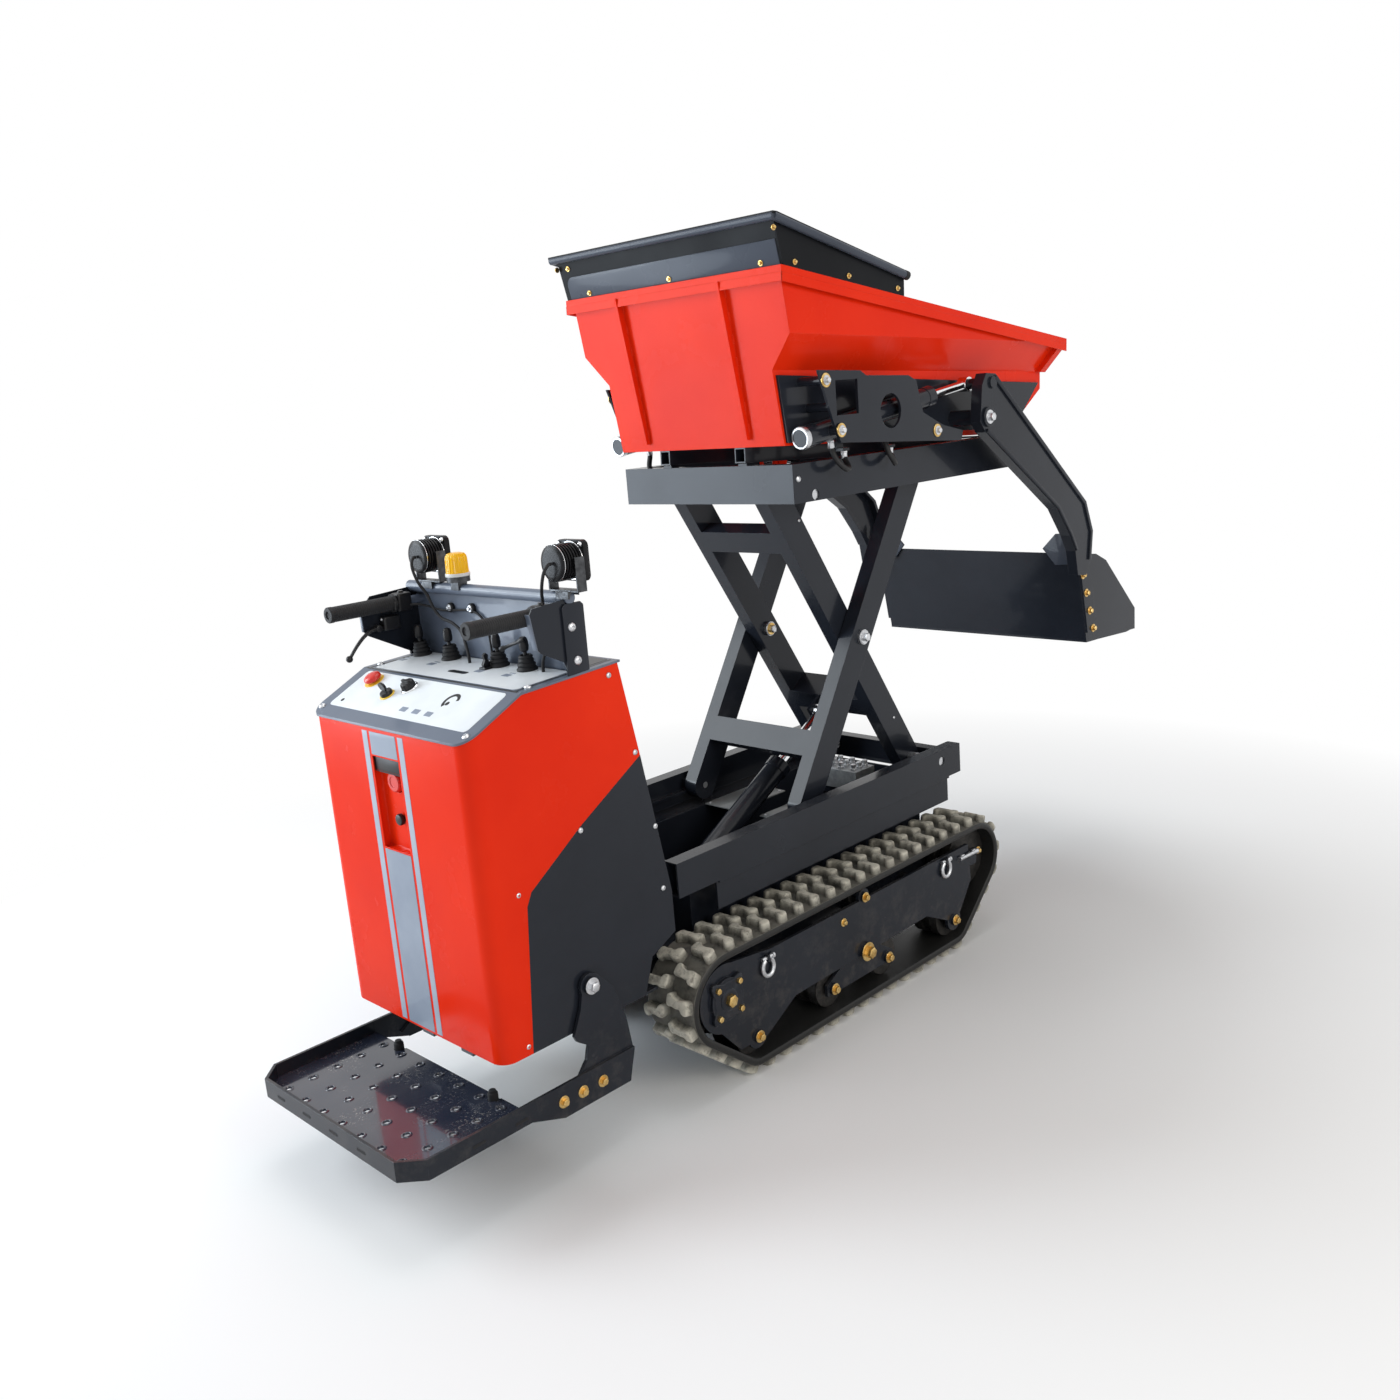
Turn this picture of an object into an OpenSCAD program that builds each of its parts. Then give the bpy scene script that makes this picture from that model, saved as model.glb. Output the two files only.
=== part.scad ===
// Tracked power carrier: rubber tracks, scissor lift, tipping skip and self-loading shovel.
// Millimetres and degrees. X runs forward to the shovel, Y to the left, Z up from the ground.
// Drawn about the middle of the tracks, then moved by datum_x so that the overall box is centred.

/* [Tracks] */
// Width over both tracks
over_tracks = 800; // [760:1:860]
// Width of one rubber belt
belt_w = 180; // [164:1:200]
// Thickness of the belt without its lugs
belt_t = 20; // [14:0.5:26]
// Height of the lugs
lug_h = 24; // [16:0.5:30]
// Wanted distance from lug to lug
lug_pitch = 72; // [60:1:90]
// Length of a lug's tread along the belt
lug_len = 34; // [24:0.5:40]
// Drive sprocket: how far behind the middle
sprocket_x = -564; // [-590:1:-550]
// Drive sprocket: height of its shaft
sprocket_z = 262; // [250:1:275]
// Belt's inner radius at the sprocket
sprocket_r = 113; // [104:0.5:118]
// Number of sprocket teeth
sprocket_teeth = 10; // [8:1:12]
// Front idler: how far ahead of the middle
idler_x = 632; // [615:1:650]
// Front idler: height of its axle
idler_z = 274; // [262:1:285]
// Belt's inner radius at the idler
idler_r = 101; // [92:0.5:108]
// Rear bottom roller
roller_first_x = -450; // [-470:1:-440]
// Second bottom roller
roller_2_x = -108; // [-130:1:-90]
// Third bottom roller
roller_3_x = 156; // [140:1:180]
// Front bottom roller
roller_last_x = 505; // [490:1:520]
// Radius of the bottom rollers where the belt runs
roller_r = 60; // [50:0.5:66]
// Carrier roller under the top run
carrier_x = 43; // [0:1:90]
// Radius of the carrier roller
carrier_r = 32; // [26:0.5:36]

/* [Track frames] */
// Outer plate's face inside the belt's outer edge
plate_inset = 16; // [14:0.5:24]
// Thickness of the track frame plates
plate_t = 12; // [8:0.5:14]
// Top edge of the track frame plates
plate_top = 334; // [320:1:345]
// Radius of the roller axles
axle_r = 12; // [9:0.5:15]
// Radius of the hub cover
hub_cover_r = 60; // [48:1:70]
// Radius of the drive motors
motor_r = 68; // [55:1:74]

/* [Chassis] */
// Half width over the rails
rail_out = 313; // [300:1:330]
// Width of a rail
rail_w = 46; // [40:1:52]
// Height of a rail
rail_h = 96; // [80:1:110]
// Top of the rails
rail_top = 648; // [640:1:660]
// Rear end of the rails
rail_rear = -633; // [-645:1:-625]
// Front end of the rails
rail_front = 676; // [660:1:700]
// Wall of the box tubes
tube_wall = 5; // [3:0.5:8]
// Half width of the lower hull
hull_half = 190; // [160:1:200]
// Rear wall of the lower hull
hull_rear = -480; // [-490:1:-470]
// Front wall of the lower hull
hull_front = 610; // [590:1:630]
// Floor of the lower hull
hull_floor = 190; // [170:1:210]
// Wall of the lower hull
hull_wall = 6; // [4:0.5:10]

/* [Scissor lift] */
// Length of an arm between its end pivots
arm_len = 1088; // [1060:1:1100]
// Angle of the arms as built
lift_angle = 57.7; // [50:0.1:60]
// Front pivot of the inner arms: how far ahead
pivot_x = 572; // [560:1:580]
// Height of the lower pivots
pivot_z = 612; // [606:1:620]
// Depth of an arm
arm_d = 90; // [76:1:96]
// Thickness of an arm
arm_t = 48; // [40:1:52]
// Outer face of the outer arms
outer_arm_out = 240; // [230:1:246]
// Gap between inner and outer arms
arm_gap = 4; // [2:0.5:8]
// Radius of the pivot pins
pin_r = 15; // [12:0.5:18]
// Radius of the arm rollers
arm_roller_r = 17; // [14:0.5:20]
// Cross tube of the outer arms: distance from their lower pivot
outer_tie_at = 180; // [165:1:195]
// Cross tube of the inner arms: distance from their upper pivot
inner_tie_at = 144; // [130:1:160]
// Lift cylinder's cross box: distance from the front pivot
lift_box_at = 266; // [250:1:280]

/* [Upper frame] */
// Half width of the upper frame
uf_out = 333; // [326:1:345]
// Width of its side beams
uf_w = 50; // [42:1:56]
// Underside of the upper frame
uf_bot = 1515; // [1508:1:1520]
// Top of the upper frame
uf_top = 1621; // [1616:1:1626]
// Rear face of the upper frame
uf_rear = -102; // [-112:1:-98]
// Front end of the upper frame
uf_front = 1100; // [1096:1:1110]
// Depth of the rear beam
rear_beam = 36; // [28:1:38]
// Upper arm pivot: distance from the rear face of the frame
uf_pivot_in = 92.625; // [88:0.005:96]
// Upper arm pivot: height above the underside of the frame
uf_pivot_up = 16.645; // [16:0.005:20]

/* [Skip] */
// Rear bottom corner of the skip, along X
skip_x = -114; // [-120:1:-106]
// Rear bottom corner of the skip, above the ground
skip_z = 1672; // [1668:1:1680]
// Downward slope of the skip floor
skip_tilt = 2.5; // [1.5:0.1:3]
// Length from the rear bottom corner to the front lip
skip_len = 1319; // [1290:1:1340]
// Half width at the floor
skip_low_half = 322; // [316:1:322]
// Half width at the top
skip_top_half = 402; // [396:1:403]
// Height where the sloped side begins
skip_low_h = 197; // [180:1:215]
// Height of the upper fold
skip_fold_h = 284; // [270:1:300]
// Rim height at the rear
rim_rear_h = 446; // [430:1:460]
// Rim height at the front
rim_front_h = 295; // [285:1:310]
// Rearward lean of the rear wall
skip_lean = 92; // [70:1:110]
// Where the front ramp begins
ramp_at = 1110; // [1100:1:1120]
// Height of the front lip
lip_h = 141; // [120:1:160]
// Sheet of the skip
skip_wall = 4; // [3:0.5:6]
// Width and depth of the rim
rim_w = 18; // [14:1:18]
// Tip pivot along X
tip_x = 1045; // [1042:1:1050]
// Tip pivot height
tip_z = 1634; // [1632:1:1636]
// Height of the rim guard at the rear
guard_h = 122; // [90:1:140]
// Length of the rim guard along the side
guard_len = 512; // [420:1:560]

/* [Loader] */
// Arm pivot along X
load_x = 670; // [662:1:678]
// Arm pivot height
load_z = 1691; // [1686:1:1696]
// Inner face of the loader arms
load_arm_in = 421.5; // [421.5:0.5:424]
// Thickness of the loader arms
load_arm_t = 36; // [30:1:40]
// Rod pin from the arm pivot, along X
load_pin_dx = 28; // [22:1:34]
// Rod pin from the arm pivot, upward
load_pin_dz = 100; // [96:1:104]
// Trunnion of the loader cylinders, along X
trunnion_x = 2; // [-6:1:10]
// Trunnion of the loader cylinders, height
trunnion_z = 1701; // [1696:1:1706]
// Middle of the loader cylinders, from the mid plane
load_cyl_y = 362; // [361:0.5:363]
// Loader barrel radius
load_barrel_r = 30; // [26:0.5:31]
// Loader rod radius
load_rod_r = 14; // [11:0.5:15]
// Inner face of the outer loader plates
outer_plate_in = 412; // [408:1:412]

/* [Shovel] */
// Half width of the shovel
shovel_half = 421.2; // [412:0.1:421.2]
// Rear bottom edge of the shovel, along X
shovel_rear = 1325; // [1325:1:1340]
// Rear bottom edge of the shovel, height
shovel_low = 877; // [870:1:885]
// Cutting edge of the shovel, along X
shovel_front = 1704; // [1680:1:1730]
// Height of the shovel's back plate
shovel_back_h = 315; // [290:1:330]
// Rearward lean of the back plate
shovel_lean = 60; // [50:1:70]

/* [Cylinders] */
// Lift cylinder foot, along X
lift_base_x = -300; // [-315:1:-290]
// Lift cylinder foot, height
lift_base_z = 430; // [424:1:436]
// Lift barrel radius
lift_barrel_r = 35; // [30:0.5:38]
// Lift rod radius
lift_rod_r = 18; // [15:0.5:19]
// Rod eye below the cross box's middle line
lift_eye_off = 85; // [82:1:90]
// Tip cylinder foot, along X
tip_base_x = 880; // [874:1:886]
// Tip cylinder foot, height
tip_base_z = 1545; // [1542:1:1548]
// Tip eye on the skip, along X
tip_eye_x = 200; // [190:1:210]
// Tip eye on the skip, height
tip_eye_z = 1612; // [1609:1:1615]
// Tip barrel radius
tip_barrel_r = 32; // [28:0.5:33]
// Tip rod radius
tip_rod_r = 17; // [14:0.5:19]

/* [Console] */
// Rear face of the console
con_rear = -1243; // [-1250:1:-1238]
// Half width of the console
con_half = 326; // [322:1:328]
// Bottom edge of the console
con_low = 346; // [340:1:352]
// Corner radius at the rear
con_corner = 40; // [24:1:60]
// Sheet of the console
con_wall = 3; // [2:0.5:4]
// Rear edge of the dash, height
dash_rear_z = 1119; // [1110:1:1128]
// Fold of the dash, along X
dash_fold_x = -1077; // [-1085:1:-1070]
// Fold of the dash, height
dash_fold_z = 1199; // [1192:1:1204]
// Front edge of the dash, along X
dash_front_x = -781; // [-790:1:-772]
// Front edge of the dash, height
dash_front_z = 1215; // [1210:1:1220]
// Thickness of the dash plate
dash_t = 5; // [3:0.5:8]
// How far the dash plate stands past the console
dash_lip = 5; // [2:0.5:8]

/* [Controls] */
// Control levers, along X
lever_x = -931; // [-936:1:-928]
// Height of a control lever over the dash
lever_h = 74; // [60:1:90]
// Radius of the lever stems
lever_r = 5; // [4:0.5:6]
// Radius of the lever knobs
knob_r = 11; // [9:0.5:12]
// Radius of the rubber boots
boot_r = 26; // [24:0.5:27]
// Height of the rubber boots
boot_h = 38; // [34:1:42]
// Handlebar shield, along X
shield_x = -898; // [-898:1:-890]
// Top tube of the handlebar, height
tube_z = 1392; // [1380:1:1400]
// Top tube radius
tube_r = 15; // [12:0.5:18]
// Grip radius
grip_r = 16; // [14:0.5:18]
// Grip length
grip_len = 190; // [150:1:200]
// Grips from the mid plane
grip_y = 293; // [285:1:297]
// Grip height
grip_z = 1360; // [1350:1:1366]
// Radius of the lamp bodies
lamp_r = 43; // [36:0.5:45]
// Width of the lamp bezels
lamp_w = 95; // [84:1:96]
// Height of the lamp tilt axis over the tube
lamp_up = 84; // [80:1:90]

/* [Platform] */
// Hinge along X
hinge_x = -977; // [-985:1:-970]
// Hinge height
hinge_z = 454; // [448:1:460]
// Hinge pin radius
hinge_r = 12; // [9:0.5:14]
// Rear edge of the platform
plat_rear = -1536; // [-1560:1:-1520]
// Front edge of the tray
plat_front = -1190; // [-1200:1:-1180]
// Half width of the platform
plat_half = 348; // [344:1:352]
// Top of the platform's edge
plat_top = 243; // [236:1:248]
// Depth of the platform's edge
plat_edge = 50; // [40:1:60]
// Thickness of the tread plate
tread_t = 4; // [3:0.5:6]
// Rows of punched holes
tread_rows = 5; // [3:1:6]
// Holes in a row
tread_cols = 7; // [5:1:8]
// Distance between the rows
tread_dx = 69; // [60:1:72]
// Distance between holes in a row
tread_dy = 86; // [70:1:92]
// Radius of a punched hole
tread_hole_r = 8; // [5:0.5:11]
// Radius of the rubber buffers
bumper_r = 13; // [10:0.5:14]
// Height of the rubber buffers
bumper_h = 28; // [20:1:32]
// Distance of a buffer from the middle
bumper_y = 207; // [150:1:280]

/* [Hidden] */
// Running gap between a pin and its bore
run = 0.05;
// Gap between faces that pass each other
slip = 0.3;
// Free gap under a belt that is drawn with flat facets
belt_gap = 0.6;
// Segments of round parts, and the step of the belt's bends
$fn = 48;
bend_step = 7.5;

// Track layout
half = over_tracks / 2;
belt_in = half - belt_w;
frame_out = half - plate_inset;
frame_in = belt_in + 8;
gap_out = frame_out - plate_t;
gap_in = frame_in + plate_t;
mid_y = half - belt_w / 2;
roller_z = lug_h + belt_t + roller_r;
wheels = [
    [roller_first_x, roller_z, roller_r],
    [roller_last_x, roller_z, roller_r],
    [idler_x, idler_z, idler_r],
    [sprocket_x, sprocket_z, sprocket_r]
];
function after(i) = (i + 1) % 4;
function before(i) = (i + 3) % 4;
function span(i) = [wheels[after(i)][0] - wheels[i][0], wheels[after(i)][1] - wheels[i][1]];
// Angle at which the belt leaves wheel i
function leave(i) = atan2(span(i)[1], span(i)[0])
    - acos((wheels[i][2] - wheels[after(i)][2]) / norm(span(i)));
// Angle over which the belt lies on wheel i
function wrap(i) = let (d = leave(i) - leave(before(i))) d < 0 ? d + 360 : d;
// Length of the straight run after wheel i
function straight(i) = sqrt(pow(norm(span(i)), 2) - pow(wheels[i][2] - wheels[after(i)][2], 2));
neutral = belt_t / 2;
function arc_len(i) = wrap(i) * PI / 180 * (wheels[i][2] + neutral);
loop_len = arc_len(0) + straight(0) + arc_len(1) + straight(1)
    + arc_len(2) + straight(2) + arc_len(3) + straight(3);
lug_count = round(loop_len / lug_pitch);
lug_step = loop_len / lug_count;
// Point at distance s along the belt and e outside its inner face
function on_wheel(i, a, e, l) = [
    wheels[i][0] + (wheels[i][2] + e) * cos(a) - l * sin(a),
    wheels[i][1] + (wheels[i][2] + e) * sin(a) + l * cos(a)
];
function belt_point(s, e, i = 0) =
    s < arc_len(i)
        ? on_wheel(i, leave(before(i)) + s / (wheels[i][2] + neutral) * 180 / PI, e, 0)
    : s < arc_len(i) + straight(i) || i == 3
        ? on_wheel(i, leave(i), e, s - arc_len(i))
        : belt_point(s - arc_len(i) - straight(i), e, i + 1);
function belt_ring(e) = [
    for (i = [0:3])
        let (n = ceil(wrap(i) / bend_step))
            for (k = [0:n]) on_wheel(i, leave(before(i)) + wrap(i) * k / n, e, 0)
];
lug_ramp = 6;
lug_foot = belt_t + 2;
function lug_ring(phase) = [
    for (k = [0:lug_count - 1])
        let (s = (k + phase) * lug_step)
            for (q = [[0, lug_foot], [lug_ramp, belt_t + lug_h], [lug_ramp + lug_len, belt_t + lug_h],
                      [2 * lug_ramp + lug_len, lug_foot]])
                belt_point((s + q[0]) % loop_len, q[1])
];
// Height of the top run's inner face over x
top_a = leave(2);
top_p = on_wheel(2, top_a, 0, 0);
function top_run(x) = top_p[1] + (x - top_p[0]) * cos(top_a) / -sin(top_a);
carrier_z = top_run(carrier_x) - carrier_r;
bogie_x = (roller_2_x + roller_3_x) / 2 + 15;
bogie_z = roller_z + 66;

// Chassis and scissor layout
rail_in = rail_out - rail_w;
deck_z = rail_top - rail_h;
front_pivot = [pivot_x, pivot_z];
arm_dir = [-cos(lift_angle), sin(lift_angle)];
top_pivot = front_pivot + arm_len * arm_dir;
mid_pivot = front_pivot + arm_len / 2 * arm_dir;
low_roller = [top_pivot[0], pivot_z];
high_roller = [pivot_x, top_pivot[1]];
outer_arm_in = outer_arm_out - arm_t;
inner_arm_out = outer_arm_in - arm_gap;
inner_arm_in = inner_arm_out - arm_t;
uf_in = uf_out - uf_w;
// The upper body is drawn with its own pivot here, and is carried by the arms' upper pivot
uf_pivot = [uf_rear + uf_pivot_in, uf_bot + uf_pivot_up];
up_dx = top_pivot[0] - uf_pivot[0];
up_dz = top_pivot[1] - uf_pivot[1];
tip_p = [tip_x, tip_z];
load_p = [load_x, load_z];
load_pin = [load_x + load_pin_dx, load_z + load_pin_dz];
trunnion = [trunnion_x, trunnion_z];
lift_foot = [lift_base_x, lift_base_z];
arm_side = [-sin(lift_angle), -cos(lift_angle)];
lift_eye = front_pivot + lift_box_at * arm_dir + lift_eye_off * arm_side;
tip_foot = [tip_base_x, tip_base_z];
tip_eye = [tip_eye_x, tip_eye_z];
eye_w = 20;
ear_t = 12;
tip_pin_r = 10;
function aim_a(p, q) = atan2(q[1] - p[1], q[0] - p[0]);
lift_l = norm(lift_eye - lift_foot);
tip_l = norm(tip_eye - tip_foot);
load_l = norm(load_pin - trunnion);

// Points of the skip in its own sloped frame
function to_skip(p) = [
    (p[0] - skip_x) * cos(skip_tilt) - (p[1] - skip_z) * sin(skip_tilt),
    (p[0] - skip_x) * sin(skip_tilt) + (p[1] - skip_z) * cos(skip_tilt)
];
ramp_m = lip_h / (skip_len - ramp_at);
side_m = (skip_fold_h - skip_low_h) / (skip_top_half - skip_low_half);
lean_m = skip_lean / rim_rear_h;
rim_m = (rim_front_h - rim_rear_h) / (skip_len + skip_lean);
function floor_h(x) = max(0, (x - ramp_at) * ramp_m);
function rim_h(x) = rim_rear_h + (x + skip_lean) * rim_m;
load_arm_out = load_arm_in + load_arm_t;
function back_x(z) = shovel_rear + 6 - (z - shovel_low) * shovel_lean / shovel_back_h;

// Loader arm in X and Z, its hollow, and the leg that is bolted to the shovel's side
arm_outline = [[643, 1786], [668, 1820], [718, 1816], [1259, 1377], [1305, 1269], [1290, 1165], [1262, 1120],
               [1206, 1128], [1190, 1212], [1154, 1269], [1073, 1368], [656, 1646], [629, 1678]];
arm_pocket = [[755, 1772], [1247, 1373], [1290, 1271], [1280, 1222], [1209, 1229], [1163, 1278], [1081, 1378],
              [728, 1613]];
arm_leg = [[1215, 1180], [1295, 1190], [back_x(1100) + 62, 1100], [back_x(905) + 62, 905],
           [back_x(905) - 6, 905], [back_x(1150) - 6, 1150]];

// Console layout
dash_a = atan2(dash_fold_z - dash_rear_z, dash_fold_x - con_rear);
deck_a = atan2(dash_front_z - dash_fold_z, dash_front_x - dash_fold_x);
// Height of the dash plate along Z, and of its underside and top over x
dash_up = dash_t / cos(dash_a);
function dash_under(x) = x < dash_fold_x
    ? dash_rear_z + (x - con_rear) * tan(dash_a)
    : dash_fold_z + (x - dash_fold_x) * tan(deck_a);
function dash_z(x) = dash_under(x) + dash_up;
lever_ys = [280, 146, -59, -170];
lamp_ys = [-326, 222];
lamp_x = -908;
lamp_z = tube_z + lamp_up;
tube_x = shield_x - 10;
beacon = [-912, 100];
stop_at = [-1116, 223];
key_at = [-1151, 111];
rotary_at = [-1118, 60];
cap_at = [0, 985];
hook_out = plat_half - 8;
hook_in = hook_out - 10;
tread_z = plat_top - 38;
bumper_x = plat_front - bumper_r - 1;
// Border between the red cover and the dark lower panels
border = [[-735, 971], [-946, 847], [-1108, 736], [-1124, 705], [-1155, con_low]];
front_foot = [-669, 592];

// The overall box runs from the platform's rear edge to the shovel's cutting edge
datum_x = -(plat_rear + shovel_front + up_dx) / 2;

// Block between two corners
module block(lo, hi) {
    translate(lo) cube(hi - lo);
}

// Round bar along Y at a point [x, z]
module bar_y(p, r, y0, y1) {
    translate([p[0], y1, p[1]]) rotate([90, 0, 0]) cylinder(r = r, h = y1 - y0);
}

// Round bar along X at a point [y, z]
module bar_x(p, r, x0, x1) {
    translate([x0, p[0], p[1]]) rotate([0, 90, 0]) cylinder(r = r, h = x1 - x0);
}

// Flat plate with an outline in X and Z, from y0 to y1
module plate_y(points, y0, y1) {
    translate([0, y1, 0]) rotate([90, 0, 0]) linear_extrude(y1 - y0) polygon(points);
}

// Flat plate with an outline in Y and Z, from x0 to x1
module plate_x(points, x0, x1) {
    translate([x0, 0, 0]) rotate([90, 0, 90]) linear_extrude(x1 - x0) polygon(points);
}

// The same on the left and the right
module both() {
    children();
    mirror([0, 1, 0]) children();
}

// Left side as drawn, right side mirrored
module on_side(s) {
    if (s > 0) children();
    else mirror([0, 1, 0]) children();
}

// Puts local +X on the line from p at angle a
module aim(p, a) {
    translate([p[0], 0, p[1]]) rotate([0, -a, 0]) children();
}

// Puts local Z square to the dash at a point [x, y]
module on_dash(p) {
    translate([p[0], p[1], dash_z(p[0])]) rotate([0, -(p[0] < dash_fold_x ? dash_a : deck_a), 0]) children();
}

// Puts the children into the skip's sloped frame
module on_lift() {
    translate([up_dx, 0, up_dz]) children();
}

module in_skip() {
    translate([skip_x, 0, skip_z]) rotate([0, skip_tilt, 0]) children();
}

// Hollow box tube along X
module tube_x(lo, hi, wall) {
    difference() {
        block(lo, hi);
        block([lo[0] - 1, lo[1] + wall, lo[2] + wall], [hi[0] + 1, hi[1] - wall, hi[2] - wall]);
    }
}

// Round lead through a list of points, eight-sided
function lead_dir(p, i) = let (d = p[min(i + 1, len(p) - 1)] - p[max(i - 1, 0)]) d / norm(d);
function lead_side(d) = let (c = cross(d, abs(d[1]) < 0.9 ? [0, 1, 0] : [1, 0, 0])) c / norm(c);
module lead(p, r) {
    n = len(p);
    ring = [for (i = [0:n - 1])
        let (d = lead_dir(p, i), u = lead_side(d), v = cross(d, u))
            for (k = [0:7]) p[i] + r * (cos(45 * k) * u + sin(45 * k) * v)];
    near = [for (i = [0:n - 2]) for (k = [0:7]) [8 * i + k, 8 * (i + 1) + (k + 1) % 8, 8 * i + (k + 1) % 8]];
    far = [for (i = [0:n - 2]) for (k = [0:7]) [8 * i + k, 8 * (i + 1) + k, 8 * (i + 1) + (k + 1) % 8]];
    ends = [[for (k = [0:7]) k], [for (k = [0:7]) 8 * (n - 1) + 7 - k]];
    polyhedron(points = ring, faces = concat(near, far, ends), convexity = 4);
}

// Chassis: hull, rails, deck, console tray, hinge brackets and lift foot in one weldment
module chassis_frame() {
    color("#3a3f45") difference() {
        union() {
            difference() {
                block([hull_rear, -hull_half, hull_floor], [hull_front, hull_half, deck_z]);
                block([hull_rear + hull_wall, -hull_half + hull_wall, hull_floor + hull_wall],
                      [hull_front - hull_wall, hull_half - hull_wall, deck_z + 1]);
            }
            both() {
                tube_x([rail_rear, rail_in, deck_z], [rail_front, rail_out, rail_top], tube_wall);
                block([hull_rear, hull_half - 2, deck_z - 6], [hull_front, rail_out, deck_z + 0.5]);
                block([hull_rear, rail_out - 19, deck_z - 86], [hull_front + 8, rail_out - 13, deck_z - 5]);
                // Ledge that carries the lower arm rollers
                block([-530, outer_arm_out + 5, pivot_z - arm_roller_r - 9],
                      [40, rail_in + 1, pivot_z - arm_roller_r - slip]);
                // Beams to the track frames
                for (x = [-250, 340]) block([x - 40, hull_half - 1, 215], [x + 40, frame_in, 295]);
                // Beams under the console
                block([con_rear + 60, 60, con_low - 66], [hull_rear + 1, 110, con_low + 1]);
                // Platform hinge
                block([hinge_x - 40, con_half - 26, con_low + 5],
                      [hinge_x + 40, con_half - 14, hinge_z + 30]);
                bar_y([hinge_x, hinge_z], hinge_r, con_half - 26, plat_half);
                bar_y([hinge_x, hinge_z], hinge_r + 9, hook_out + slip, plat_half);
                // Lift cylinder foot
                block([lift_base_x - 45, eye_w + slip, lift_base_z - 24],
                      [lift_base_x + 24, eye_w + slip + ear_t, lift_base_z + 24]);
            }
            block([rail_front - 46, -rail_in - 1, deck_z], [rail_front - 6, rail_in + 1, rail_top - 20]);
            block([rail_rear + 4, -rail_in - 1, deck_z], [rail_rear + 44, rail_in + 1, rail_top - 20]);
            block([rail_rear + 4, -hull_half, con_low], [rail_rear + 10, hull_half, deck_z + 1]);
            block([con_rear + con_wall + slip + con_corner, -con_half + con_wall + slip, con_low],
                  [-745, con_half - con_wall - slip, con_low + 6]);
            block([con_rear + con_wall + slip, -con_half + con_corner, con_low],
                  [con_rear + con_corner + 5, con_half - con_corner, con_low + 6]);
            block([-746, -hull_half, con_low], [hull_rear + 1, hull_half, con_low + 6]);
            block([lift_base_x - 84, -hull_half + hull_wall - 1, lift_base_z - 30],
                  [lift_base_x - 44, hull_half - hull_wall + 1, lift_base_z + 30]);
            bar_y(lift_foot, 12, -eye_w - ear_t - slip, eye_w + ear_t + slip);
            block([430, -hull_half + hull_wall - 1, 490], [480, hull_half - hull_wall + 1, 520]);
        }
        both() bar_y(front_pivot, pin_r + run, rail_in - 2, rail_out + 1);
    }
}

// Outline of a track frame plate with its lobes
module frame_plate(y0, y1) {
    plate_y([[sprocket_x, sprocket_z + 96], [-376, plate_top], [idler_x - 34, plate_top],
             [idler_x - 23, 209], [roller_last_x + 34, roller_z + 12], [roller_last_x - 34, roller_z + 8],
             [roller_last_x - 150, 168], [roller_first_x + 165, 158], [roller_first_x + 40, roller_z - 14],
             [roller_first_x - 70, roller_z - 12], [sprocket_x - 90, sprocket_z - 20]], y0, y1);
    bar_y([sprocket_x, sprocket_z], 97, y0, y1);
    bar_y([roller_first_x, roller_z], 36, y0, y1);
    bar_y([roller_last_x, roller_z], 36, y0, y1);
    bar_y([carrier_x, carrier_z], 24, y0, y1);
}

shackle_at = [[-400, 318], [459, 322]];
module track_frame(s) {
    color("#3a3f45") on_side(s) difference() {
        union() {
            frame_plate(gap_out, frame_out);
            frame_plate(frame_in, gap_in);
            for (p = [[-330, 244], [bogie_x + 90, 262], [420, 244]]) bar_y(p, 22, gap_in - 1, gap_out + 1);
            for (p = [[roller_first_x, roller_z], [roller_last_x, roller_z]]) {
                bar_y(p, axle_r, frame_in, frame_out);
                bar_y(p, axle_r + 6, frame_out - 1, frame_out + 7);
            }
            // Bogie plates that carry the two middle rollers
            for (y = [gap_out - 10, gap_in - 0.5]) {
                plate_y([[roller_2_x - 26, roller_z - 18], [roller_3_x + 26, roller_z - 18],
                         [roller_3_x + 26, roller_z + 16], [bogie_x + 34, bogie_z + 20],
                         [bogie_x - 34, bogie_z + 20], [roller_2_x - 26, roller_z + 16]], y, y + 10.5);
            }
            for (x = [roller_2_x, roller_3_x]) {
                bar_y([x, roller_z], axle_r, gap_in, gap_out);
                bar_y([x, roller_z], axle_r + 6, gap_out - 1, gap_out + 9);
            }
            bar_y([bogie_x, bogie_z], 16, frame_in, frame_out);
            bar_y([bogie_x, bogie_z], 24, frame_out - 1, frame_out + 9);
            bar_y([carrier_x, carrier_z], 10, frame_in, frame_out + 6);
            // Idler fork and axle
            for (y = [gap_out - 12, gap_in - 0.5])
                block([idler_x - 90, y, idler_z - 26], [idler_x + 30, y + 12.5, idler_z + 26]);
            bar_y([idler_x, idler_z], 16, gap_in, gap_out);
            bar_y([sprocket_x, sprocket_z], hub_cover_r, frame_out - 1, frame_out + 10);
            for (p = shackle_at) block([p[0] - 4, frame_out - 1, p[1] - 10], [p[0] + 4, frame_out + 15, p[1] + 10]);
        }
        bar_y([sprocket_x, sprocket_z], 34, frame_in - 1, gap_in + 1);
        for (p = shackle_at) bar_x([frame_out + 6.5, p[1]], 6.3, p[0] - 8, p[0] + 8);
    }
}

module track_frame_right() { track_frame(-1); }
module track_frame_left() { track_frame(1); }

// Rubber belt: a plain loop with two staggered rows of lugs
module track(s) {
    color("#26282a") on_side(s) difference() {
        union() {
            plate_y(belt_ring(belt_t), belt_in, half);
            plate_y(lug_ring(0), mid_y + 3, half - 7);
            plate_y(lug_ring(0.5), belt_in + 7, mid_y - 3);
        }
        plate_y(belt_ring(0), belt_in - 1, half + 1);
    }
}

module track_right() { track(-1); }
module track_left() { track(1); }

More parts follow.
